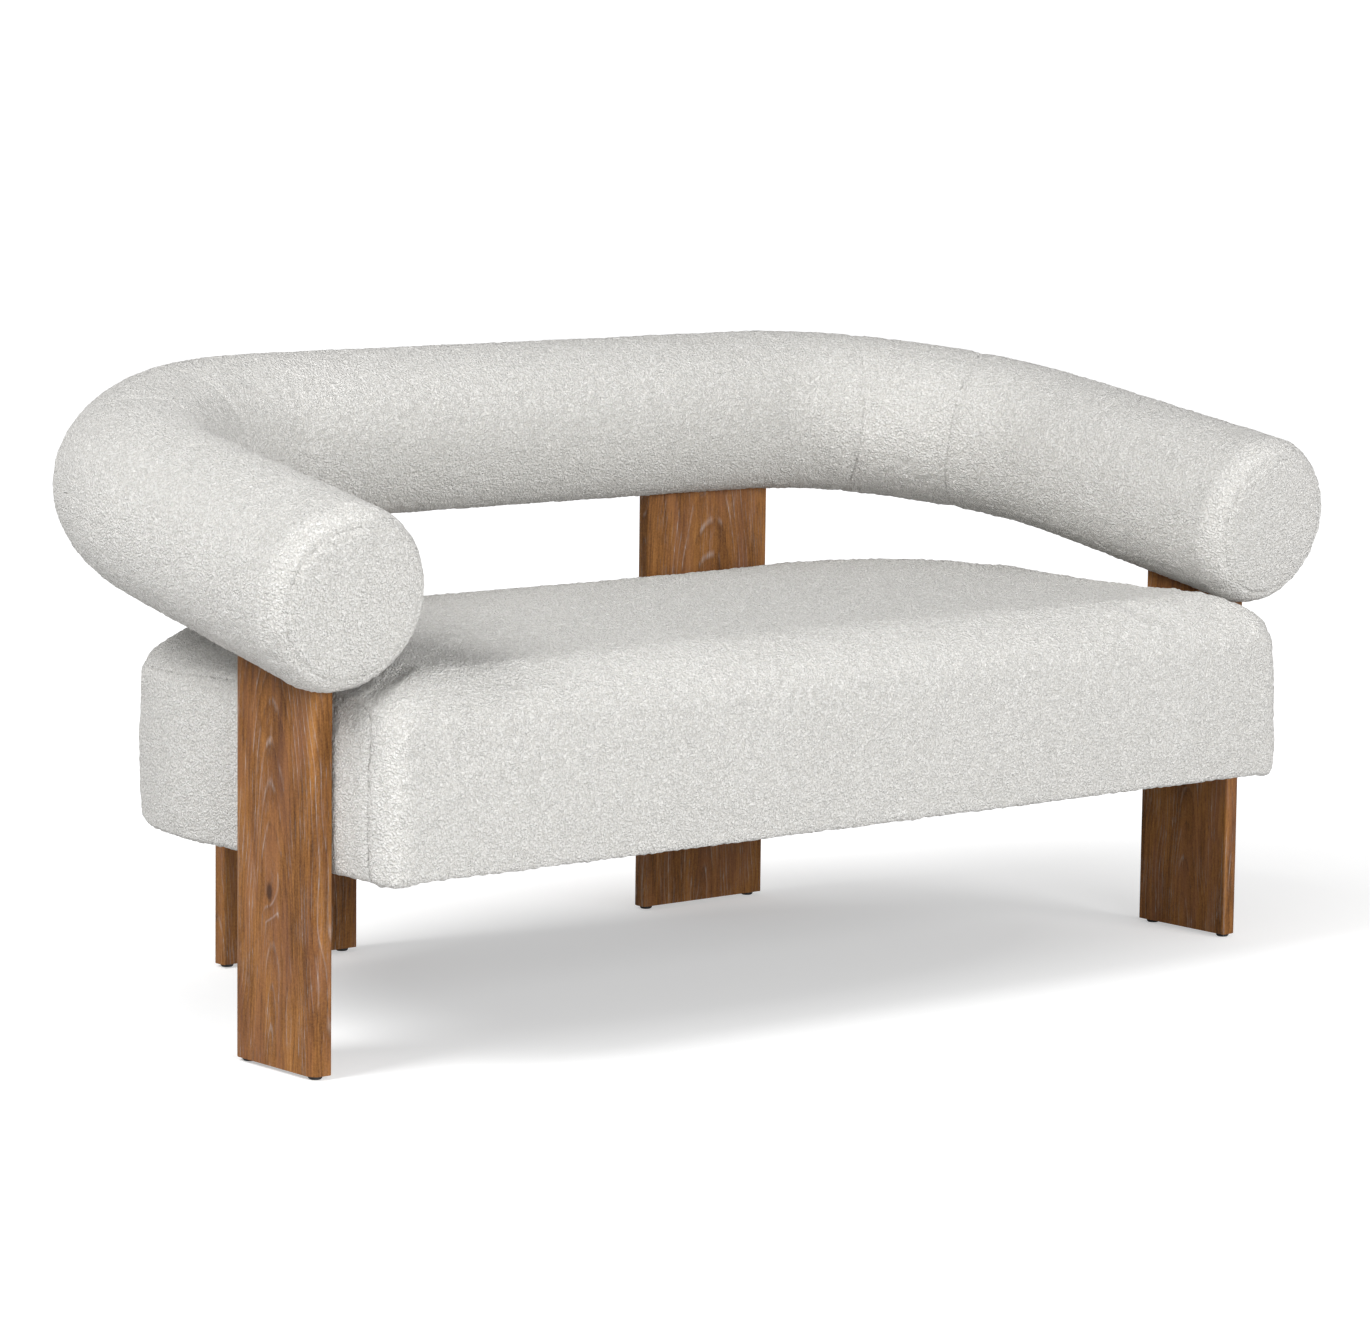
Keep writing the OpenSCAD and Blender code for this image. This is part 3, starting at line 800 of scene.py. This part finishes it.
def folded_corners(points):
    """The cover's lower front corners, where its folds lie thick over the frame's corners."""
    inset = FRONT_R * (1 - math.sqrt(0.5))
    away = np.hypot(np.abs(points[:, 0]) - (HALF_W - inset), points[:, 1] - (FRONT + inset))
    low = smooth_step((SEAT_BOTTOM + CORNER_FILL_TOP - points[:, 2]) / CORNER_FILL_FADE)
    return CORNER_FILL * np.exp(-((away / CORNER_FILL_W) ** 2)) * low


def press_flat(points, gap=LEG_GAP, spare=0.0):
    """Holds the seat's cover flat against the legs that it stands between."""
    for leg, side in (("front_right_leg", 1), ("front_left_leg", -1), ("rear_right_leg", 0)):
        lo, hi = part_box(leg)
        across, along = (0, 1) if side else (1, 0)
        face = lo[across] if side >= 0 else -hi[across]
        reach = points[:, across] * (side or 1)
        place = points[:, along] if side else np.abs(points[:, along])
        beside = np.maximum(lo[along] - place, place - hi[along])
        limit = face - gap + LEG_BULGE * smooth_step(beside / LEG_BULGE_OVER)
        limit += spare * smooth_step(beside / LEG_EDGE_OVER)
        points[:, across] = np.minimum(reach, limit) * (side or 1)


def seat_surface(band, top, d_band):
    """Points of the cover's outside, with its seams and its pile, and of its inside."""
    band_move, top_move = seat_swell(band, top, d_band)
    band, top = band + band_move, top + top_move
    top_n = grid_normals(top, False)
    top_n *= np.sign(top_n[..., 2:3])
    normal = np.concatenate([grid_normals(band, True).reshape(-1, 3), top_n.reshape(-1, 3)])
    flat = np.concatenate([band.reshape(-1, 3), top.reshape(-1, 3)])
    d = np.concatenate([d_band.reshape(-1), np.full(top[..., 0].size, FAR)])
    inside = flat - normal * SIDE_CLOTH
    press_flat(flat, gap=LEG_GAP + PRESSED_PILE)
    move = SEAT_SEAM * seam_dip(d, seam_wobble(flat)) + pile(flat) + folded_corners(flat)
    flat = flat + normal * move[:, None]
    press_flat(flat, spare=LOOSE_PILE)
    return flat, inside


def seat_faces(plan, rows, seam_row, ids):
    """The seat's faces by the panel that they are in."""
    total = plan.total
    parts = {"top": quads(ids), "right": [], "left": []}
    for i in range(rows - 1):
        for j in range(total):
            k = (j + 1) % total
            face = (i * total + j, i * total + k, (i + 1) * total + k, (i + 1) * total + j)
            if i >= seam_row or j < plan.right_seam or j >= plan.left_seam:
                parts["top"].append(face)
            else:
                parts["right" if j < plan.back_middle else "left"].append(face)
    return parts


def cushion_border(plan, seam_row):
    """Pairs of points on the cushion's two side seams, and its front and its back edge."""
    total = plan.total
    straight = plan.back_middle - plan.back // 2
    steps = [(i, plan.right_seam) for i in range(seam_row + 1)]
    steps += [(seam_row, j) for j in range(plan.right_seam + 1, straight + 1)]
    across = plan.front + plan.front_arc
    ladder = [(i * total + j, i * total + (across - j) % total) for i, j in steps]
    front_row = [j % total for j in range(plan.left_seam, total + plan.right_seam + 1)]
    back_row = [
        seam_row * total + j for j in range(straight, 2 * plan.back_middle - straight + 1)
    ]
    return ladder, front_row, back_row


def seat_pieces():
    """The seat's cushion, and its side panels by their side."""
    plan, band, top_xy = build_seat()
    seams = SeatSeams(plan, band)
    band, top = seams.bend(band), crowned_top(top_xy)
    points, inside = seat_surface(band, top, seams.distance())
    ids = top_ids(top.shape[:2], (len(band) - 1) * plan.total, plan.total)
    parts = seat_faces(plan, len(band), seams.row, ids)
    cushion = cushion_object("seat_top", points, parts["top"], *cushion_border(plan, seams.row))
    return cushion, {
        word: shell_object("seat_side_" + word, points, inside, parts[word])
        for word in ("right", "left")
    }


def border_of(faces):
    """Directed border edges of a set of quads, as they run in their faces."""
    edges = {}
    for f in faces:
        for a, b in zip(f, f[1:] + f[:1]):
            if not edges.pop((b, a), False):
                edges[(a, b)] = True
    return list(edges)


def shell_object(name, outer, inner, faces):
    """A panel of cloth with a thickness: its outside, its inside and its cut edge."""
    used, local = np.unique(np.array(faces), return_inverse=True)
    local = local.reshape(-1, 4)
    n = len(used)
    front = [tuple(int(x) for x in f) for f in local]
    back = [tuple(int(x) + n for x in f[::-1]) for f in local]
    rim = [(b, a, a + n, b + n) for a, b in border_of(front)]
    return closed_object(name, np.vstack([outer[used], inner[used]]), front + back + rim)


def cushion_object(name, points, faces, ladder, front_row, back_row):
    """The seat's cushion: its cover, closed underneath by rungs between its two side seams."""
    closing = [(*front_row, *ladder[1])]
    closing += [(*a, *b[::-1]) for a, b in zip(ladder[1:], ladder[2:])]
    closing.append((ladder[-1][1], *back_row[-2:0:-1], ladder[-1][0]))
    everything = list(faces) + closing
    used = sorted({int(v) for f in everything for v in f})
    new = {v: k for k, v in enumerate(used)}
    return closed_object(name, points[used], [tuple(new[int(v)] for v in f) for f in everything])


# ---- Cloth under the seat ----


def plan_area(loop):
    x, y = loop[:, 0], loop[:, 1]
    return abs(float((x * np.roll(y, -1) - y * np.roll(x, -1)).sum())) / 2


def flat_cloth(name, node, tuck, sag, thickness):
    """A sheet in the seat's outline, level with a CAD sheet, tucked in and sagging a little."""
    lo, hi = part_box(node)
    plan = SeatPlan()
    inset = HALF_W - hi.x + tuck
    loop = plan.outline(inset, max(FRONT_R - inset, SHEET_CORNER_R), REAR_R - inset)
    loop[:, 1] += ((lo.y + hi.y) - (loop[:, 1].min() + loop[:, 1].max())) / 2
    grid = coons(plan, loop)[::CLOTH_GRID, ::CLOTH_GRID]
    rows, cols = grid.shape[:2]
    a = np.sin(np.linspace(0, math.pi, cols))[None, :] ** 0.7
    b = np.sin(np.linspace(0, math.pi, rows))[:, None] ** 0.7
    z = (lo.z + hi.z) / 2 - sag * a * b
    level = np.concatenate([grid, z[..., None]], 2).reshape(-1, 3)
    wave = SHEET_WAVE * smooth_noise(level, WAVE_SIZE, WAVE_SEED).reshape(rows, cols)
    points = np.concatenate([grid, (z + wave * a * b)[..., None]], 2).reshape(-1, 3)
    faces = [f[::-1] for f in grid_faces(rows, cols, False)]
    obj = shell_object(name, points + UP * thickness / 2, points - UP * thickness / 2, faces)
    size = tuple(float(v) for v in loop.max(0) - loop.min(0))
    return obj, size, plan_area(loop)


# ---- Materials ----


class Nodes:
    """Builds one material's node tree."""

    def __init__(self, name):
        self.material = bpy.data.materials.new(name)
        self.material.use_nodes = True
        self.tree = self.material.node_tree
        self.shader = self.tree.nodes["Principled BSDF"]
        self.point = self.add("TexCoord", output="Object")

    def put(self, socket, value):
        if isinstance(value, bpy.types.NodeSocket):
            self.tree.links.new(value, socket)
        else:
            socket.default_value = value

    def set(self, **values):
        for key, value in values.items():
            self.put(self.shader.inputs[key.replace("_", " ").title()], value)

    def add(self, kind, inputs=(), output=0, operation=None):
        """A node with these inputs, by order or by name; gives one of its outputs."""
        node = self.tree.nodes.new("ShaderNode" + kind)
        if operation:
            node.operation = operation
        named = inputs if isinstance(inputs, dict) else dict(enumerate(inputs))
        for key, value in named.items():
            self.put(node.inputs[key], value)
        return node.outputs[output]

    def math(self, operation, *values):
        return self.add("Math", values, operation=operation)

    def vector(self, operation, *values):
        output = "Value" if operation == "LENGTH" else "Vector"
        return self.add("VectorMath", values, output, operation)

    def scaled(self, scale, offset=(0, 0, 0), point=None):
        return self.add(
            "Mapping", {"Vector": point or self.point, "Scale": scale, "Location": offset}
        )

    def noise(self, point, scale, detail=2.0, roughness=0.5, colour=False):
        inputs = {"Vector": point, "Scale": scale, "Detail": detail, "Roughness": roughness}
        return self.add("TexNoise", inputs, "Color" if colour else "Fac")

    def cells(self, point, scale):
        return self.add("TexVoronoi", {"Vector": point, "Scale": scale}, "Distance")

    def split(self, vector):
        return self.add("SeparateXYZ", (vector,)).node.outputs

    def join(self, *values):
        return self.add("CombineXYZ", values)

    def ramp(self, factor, *stops):
        """Colours at places from 0 to 1: each stop is (place, (red, green, blue))."""
        output = self.add("ValToRGB", (factor,))
        elements = output.node.color_ramp.elements
        while len(elements) < len(stops):
            elements.new(0.5)
        for element, (place, colour) in zip(elements, stops):
            element.position = place
            element.color = (*colour, 1)
        return output

    def remap(self, value, from_low, from_high, to_low=0.0, to_high=1.0):
        return self.add("MapRange", (value, from_low, from_high, to_low, to_high))

    def mix(self, factor, colour, other):
        return self.add("MixRGB", (factor, colour, (*other, 1)))

    def bump(self, height, distance, strength=1.0):
        inputs = {"Height": height, "Distance": distance, "Strength": strength}
        self.put(self.shader.inputs["Normal"], self.add("Bump", inputs))


def boucle():
    """Looped off-white pile: fine nubs of two sizes, with fibre on them."""
    n = Nodes("boucle")
    drift = n.noise(n.point, 300, 2, 0.6, colour=True)
    drift = n.vector("SUBTRACT", drift, (0.5, 0.5, 0.5))
    drift = n.vector("MULTIPLY", drift, (LOOP_DRIFT,) * 3)
    point = n.vector("ADD", n.point, drift)
    loops = n.remap(n.cells(point, LOOPS_PER_M), 0.10, 0.72, 1, 0)
    nubs = n.remap(n.cells(point, NUBS_PER_M), 0.10, 0.72, 1, 0)
    clump = n.noise(n.point, CLUMPS_PER_M, 2, 0.5)
    fibre = n.noise(point, FIBRES_PER_M, 3, 0.65)
    height = n.math("MULTIPLY_ADD", loops, 0.55, n.math("MULTIPLY", nubs, 0.30))
    height = n.math("MULTIPLY_ADD", clump, 0.25, height)
    height = n.math("MULTIPLY_ADD", fibre, 0.12, height)
    # painted shade and light: the colour follows the pile's height, darker in the crevices between
    # the loops and paler on their tops; the patch noise is the yarn's own uneven tone
    patch = n.noise(n.point, 7, 3)
    crevice_shade_and_tone = n.math("MULTIPLY_ADD", patch, 0.08, height)
    colour = n.ramp(
        crevice_shade_and_tone,
        (0.25, (0.66, 0.645, 0.61)),
        (0.55, (0.85, 0.835, 0.805)),
        (0.80, (0.93, 0.92, 0.895)),
        (1.0, (0.98, 0.97, 0.945)),
    )
    n.set(base_color=colour, roughness=0.92)
    n.shader.inputs["Specular IOR Level"].default_value = 0.25
    n.shader.inputs["Sheen Weight"].default_value = 0.15
    n.shader.inputs["Sheen Roughness"].default_value = 0.5
    n.bump(height, LOOP_BUMP)
    return n.material


def streaks(n, board, width, length, detail=3, roughness=0.6, shift=0.0):
    """Noise drawn out along the grain: streaks so wide and so long, in metres."""
    point = n.scaled((1 / width, 1 / width, 1 / length), offset=(shift, 0, 0), point=board)
    return n.noise(point, 1, detail, roughness)


def oak_knot(n, board, seed):
    """A small knot, and how far it bends the grain around itself."""
    knot_at = (0.012 - 0.006 * seed, 0, 0.17 + (0.02 + BOARD_SHIFT) * seed)
    away = n.vector("SUBTRACT", board, knot_at)
    away = n.vector("LENGTH", n.scaled((1 / KNOT_W, 1 / KNOT_DEPTH, 1 / KNOT_H), point=away))
    return n.remap(away, 0.6, 1.15, 1, 0), n.remap(away, 0.8, 3.2, KNOT_BEND, 0)


def oak_rings(n, board, across, depth, z, bend, seed):
    """Place in its yearly ring, from 0 to 1: the rings show as tall arches on the board's face."""
    sway = n.math("SUBTRACT", streaks(n, board, 0.08, 0.30, 2, 0.5), 0.5)
    sway = n.math("MULTIPLY", sway, RING_SWAY)
    heart = n.math("ADD", n.math("ADD", across, HEART_SHIFT * ((seed % 3) - 1)), sway)
    deep = n.math("ADD", depth, HEART_DEPTH)
    deep = n.math("MULTIPLY_ADD", n.math("SUBTRACT", z, ARCH_FOOT), ARCH_LEAN, deep)
    radius = n.math("SQRT", n.math("ADD", n.math("POWER", heart, 2), n.math("POWER", deep, 2)))
    return n.math("FRACT", n.math("MULTIPLY", n.math("ADD", radius, bend), RINGS_PER_M))


def oak_tone(n, board, ring):
    """How dark the wood is: late wood, broad and narrow streaks and a fine mottle."""
    late = n.remap(ring, 0.45, 1.0)
    tone = n.math("MULTIPLY", streaks(n, board, 0.006, 0.13, 4, 0.62, 5), 0.58)
    tone = n.math("MULTIPLY_ADD", late, 0.10, tone)
    tone = n.math("MULTIPLY_ADD", streaks(n, board, 0.030, 0.22), 0.75, tone)
    tone = n.math("MULTIPLY_ADD", streaks(n, board, 0.0014, 0.030, 3, 0.6, 9), 0.42, tone)
    tone = n.math("MULTIPLY_ADD", n.noise(board, 420, 3, 0.7), 0.46, tone)
    return n.math("SUBTRACT", tone, 0.63)


def oak_pores(n, board, ring):
    """Open pores, most of them along the rings' edges, and the pale wax in some of them."""
    pore = n.remap(streaks(n, board, 0.0011, 0.014, 2, 0.5, 17), 0.54, 0.64)
    line = n.remap(n.math("ABSOLUTE", n.math("SUBTRACT", ring, 0.5)), 0.36, 0.48)
    pore = n.math("MULTIPLY", pore, n.math("MULTIPLY_ADD", line, 0.80, 0.20))
    waxy = n.remap(streaks(n, board, 0.016, 0.075, 3, 0.6, 31), 0.46, 0.60)
    wax = n.math("MAXIMUM", pore, n.math("MULTIPLY", line, 0.35))
    return pore, n.math("MULTIPLY", wax, waxy)


def oak(name, lies_along_x, seed):
    """Brown plain-sawn oak with its grain upright, for the leg so named, and a satin finish."""
    n = Nodes("oak_" + name)
    lo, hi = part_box(name)
    x, y, z = n.split(n.point)
    from_x = n.math("SUBTRACT", x, (lo.x + hi.x) / 2)
    from_y = n.math("SUBTRACT", y, (lo.y + hi.y) / 2)
    across, depth = (from_x, from_y) if lies_along_x else (from_y, from_x)
    board = n.join(across, depth, n.math("ADD", z, seed * BOARD_SHIFT))
    knot, bend = oak_knot(n, board, seed)
    ring = oak_rings(n, board, across, depth, z, bend, seed)
    tone = oak_tone(n, board, ring)
    pore, wax = oak_pores(n, board, ring)
    colour = n.ramp(
        tone,
        (0.10, (0.450, 0.216, 0.072)),
        (0.34, (0.320, 0.140, 0.038)),
        (0.56, (0.190, 0.077, 0.020)),
        (0.80, (0.060, 0.024, 0.009)),
    )
    red = n.remap(streaks(n, board, 0.020, 0.12, 3, 0.6, 57), 0.45, 0.65)
    for mask, share, tint in (
        (red, 0.35, (0.260, 0.113, 0.064)),
        (pore, 0.60, (0.050, 0.024, 0.013)),
        (wax, 0.80, (0.52, 0.42, 0.37)),
        (knot, 0.80, (0.035, 0.015, 0.009)),
    ):
        colour = n.mix(n.math("MULTIPLY", mask, share), colour, tint)
    n.set(base_color=colour, roughness=n.remap(tone, 0.0, 0.9, 0.44, 0.60))
    n.shader.inputs["Specular IOR Level"].default_value = 0.18
    relief = n.math("MULTIPLY_ADD", pore, -0.7, n.math("MULTIPLY", tone, -0.3))
    n.bump(relief, 0.0005, 0.7)
    return n.material


def speckled(name, dark, light, size, rough, stretch=(1, 1, 1), metal=0.0, relief=0.0004):
    """A plain stuff with a grain of its own: foam, felt, webbing, softwood, plastic or metal."""
    n = Nodes(name)
    point = n.scaled(stretch)
    coarse = n.noise(point, 1 / size, 4, 0.6)
    fine = n.noise(point, 6 / size, 3, 0.6)
    value = n.math("MULTIPLY_ADD", fine, 0.5, n.math("MULTIPLY", coarse, 0.5))
    n.set(base_color=n.ramp(value, (0.3, dark), (0.7, light)))
    n.set(roughness=n.remap(value, 0.2, 0.8, rough, min(rough + 0.15, 1)))
    n.shader.inputs["Metallic"].default_value = metal
    n.bump(value, relief, 0.7)
    return n.material


def woven(name, dark, light, pitch, rough):
    """Cloth or webbing with crossed threads at a pitch in metres."""
    n = Nodes(name)
    x, y, z = n.split(n.point)
    turn = 2 * math.pi / pitch
    warp = n.math("SINE", n.math("MULTIPLY", n.math("ADD", x, z), turn))
    weft = n.math("SINE", n.math("MULTIPLY", n.math("ADD", y, z), turn))
    weave = n.math("MULTIPLY", warp, weft)
    fluff = n.noise(n.point, 0.6 / pitch, 3, 0.6)
    weave = n.math("MULTIPLY_ADD", weave, 0.25, 0.25)
    value = n.math("ADD", weave, n.math("MULTIPLY", fluff, 0.5))
    n.set(base_color=n.ramp(value, (0.2, dark), (0.8, light)), roughness=rough)
    n.bump(value, pitch / 4, 0.8)
    return n.material


def frame_materials():
    """Materials of the parts that keep their CAD shape, by the record's slot."""
    metal = {"size": 0.002, "rough": 0.3, "metal": 1.0, "relief": 0.0001}
    return {
        "pine": speckled("pine", (0.50, 0.32, 0.15), (0.72, 0.54, 0.33), 0.018, 0.6, (0.15, 1, 1)),
        "webbing": woven("webbing", (0.012, 0.012, 0.012), (0.06, 0.06, 0.06), 0.0022, 0.8),
        "felt": speckled("felt", (0.22, 0.22, 0.24), (0.42, 0.42, 0.44), 0.006, 0.95),
        "dust_cloth": woven("dust_cloth", (0.012, 0.012, 0.013), (0.05, 0.05, 0.052), 0.0016, 0.9),
        "glide_plastic": speckled(
            "glide_plastic", (0.012, 0.012, 0.013), (0.03, 0.03, 0.032), 0.003, 0.35, relief=0.0001
        ),
        "zinc_steel": speckled("zinc_steel", (0.50, 0.51, 0.53), (0.68, 0.69, 0.70), **metal),
        "brass_insert": speckled("brass_insert", (0.52, 0.38, 0.16), (0.78, 0.62, 0.30), **metal),
    }


def paint(obj, material):
    obj.data.materials.clear()
    obj.data.materials.append(material)


# ---- Camera, light and floor ----


def add_camera():
    """Looks down the photograph's line of sight from the sofa's front left."""
    yaw, pitch, roll = (math.radians(v) for v in (CAMERA_YAW, CAMERA_PITCH, CAMERA_ROLL))
    ahead = Vector(
        (math.sin(yaw) * math.cos(pitch), math.cos(yaw) * math.cos(pitch), -math.sin(pitch))
    )
    right = Vector((math.cos(yaw), -math.sin(yaw), 0))
    above = right.cross(ahead)
    tilt = Matrix.Rotation(-roll, 3, ahead)
    right, above = tilt @ right, tilt @ above
    data = bpy.data.cameras.new("camera")
    data.sensor_fit = "HORIZONTAL"
    data.sensor_width = 36
    data.lens = CAMERA_LENS
    camera = bpy.data.objects.new("camera", data)
    turn = Matrix((right, above, -ahead)).transposed().to_4x4()
    camera.matrix_world = Matrix.Translation(CAMERA_AT) @ turn
    bpy.context.scene.collection.objects.link(camera)
    bpy.context.scene.camera = camera


def add_area(name, turn, rise, power):
    """A round soft light, turned to the right of straight ahead, in degrees."""
    turn, rise = math.radians(turn), math.radians(rise)
    flat = math.cos(rise)
    way = Vector((flat * math.sin(turn), -flat * math.cos(turn), math.sin(rise)))
    data = bpy.data.lights.new(name, "AREA")
    data.shape = "DISK"
    data.size = LIGHT_SIZE
    data.energy = power
    light = bpy.data.objects.new(name, data)
    light.location = way * LIGHT_REACH + Vector((0, 0, AIM_Z))
    light.rotation_euler = way.to_track_quat("Z", "Y").to_euler()
    bpy.context.scene.collection.objects.link(light)


def add_light():
    world = bpy.data.worlds.new("studio")
    world.use_nodes = True
    background = world.node_tree.nodes["Background"]
    background.inputs["Color"].default_value = (1.0, 1.0, 1.0, 1)
    background.inputs["Strength"].default_value = WORLD_LIGHT
    bpy.context.scene.world = world
    for name, turn, rise, power in LIGHTS:
        add_area(name, turn, rise, power)
    bpy.context.scene.view_settings.view_transform = "Standard"


def glowing(name, colour, amount, under=None):
    """A pale studio surface that looks brighter than it is lit, with a painted shadow: it glows
    less in a pool under the sofa.
    """
    n = Nodes(name)
    n.set(base_color=(*colour, 1), roughness=0.9)
    n.shader.inputs["Specular IOR Level"].default_value = 0.1
    n.shader.inputs["Emission Color"].default_value = (1, 1, 1, 1)
    seen = n.add("LightPath", output="Is Camera Ray")
    glow = amount
    if under is not None:
        # painted shadow: the glow falls to a lower amount in a pool under the sofa
        away = n.vector("LENGTH", n.scaled((1 / SHADOW_POOL_HALF_W, 1 / SHADOW_POOL_HALF_D, 0)))
        glow = n.remap(away, *SHADOW_POOL_FADE, under, amount)
    n.put(n.shader.inputs["Emission Strength"], n.math("MULTIPLY", seen, glow))
    return n.material


def add_studio():
    """A pale floor with a painted shadow pool under the sofa, and a white backdrop that only the
    camera sees.
    """
    n = 64
    turn = np.linspace(0, 2 * math.pi, n, endpoint=False)
    ring = np.stack([np.cos(turn), np.sin(turn), 0 * turn], -1) * STUDIO_R
    floor = new_object("floor", ring, [tuple(range(n))])
    paint(floor, glowing("floor", (FLOOR_TONE,) * 3, FLOOR_GLOW, under=SHADOW_POOL_GLOW))
    rise = np.linspace(0, math.pi / 2, 16, endpoint=False)
    shells = [ring * math.cos(t) + (0, 0, STUDIO_R * math.sin(t)) for t in rise]
    faces = grid_faces(len(rise), n, True) + [tuple(range((len(rise) - 1) * n, len(rise) * n))]
    backdrop = new_object("backdrop", np.vstack(shells), faces)
    paint(backdrop, glowing("backdrop", (0.9, 0.9, 0.9), 1.0))
    for seen_by in ("diffuse", "glossy", "transmission", "volume_scatter", "shadow"):
        setattr(backdrop, "visible_" + seen_by, False)


# ---- The sofa ----


def upholster(obj, fill, *nodes):
    paint(obj, fabric)
    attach(obj, "root")
    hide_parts(*nodes)


def lay(name, node, slot, tuck, sag, thickness):
    """A sheet of cloth stretched over or under the seat's four rails."""
    cloth, size, area = flat_cloth(name, node, tuck, sag, thickness)
    paint(cloth, stuff[slot])
    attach(cloth, "root")
    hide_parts(node)


add_camera()
add_light()
add_studio()

fabric = boucle()
back = bolster_panel("bolster_back", -GUSSET_FROM, GUSSET_FROM, 1)
upholster(back, BOLSTER_FILL, "back_cover", "back_foam")
for side, word in ((1, "right"), (-1, "left")):
    gusset = bolster_panel("bolster_gusset_" + word, GUSSET_FROM, GUSSET_TO, side)
    upholster(gusset, BOLSTER_FILL, word + "_gusset_cover", word + "_corner_foam")
    upholster(bolster_arm(side, word), BOLSTER_FILL, word + "_arm_cover", word + "_arm_foam")
    upholster(bolster_end(side, word), BOLSTER_FILL, word + "_end_cover")

cushion, panels = seat_pieces()
upholster(cushion, SEAT_FILL, "seat_top_cover", "seat_foam", "seat_wadding")
for word, panel in panels.items():
    upholster(panel, SEAT_FILL, f"seat_{word}_cover")

stuff = frame_materials()
lay("dust_cloth", "dust_cover", "dust_cloth", tuck=0.009, sag=0.004, thickness=0.0008)
lay("deck_felt", "seat_deck_felt", "felt", tuck=0.0, sag=0.0, thickness=0.003)

legs = ("front_left_leg", "front_right_leg", "rear_left_leg", "rear_right_leg")
for number, leg in enumerate(legs):
    paint(frame["nodes"][leg], oak(leg, leg.startswith("rear"), number + 1))
for part in frame["record"]["subparts"]:
    node, slot = part["node"], part["material_slot"]
    if slot in stuff and node not in ("dust_cover", "seat_deck_felt"):
        paint(frame["nodes"][node], stuff[slot])
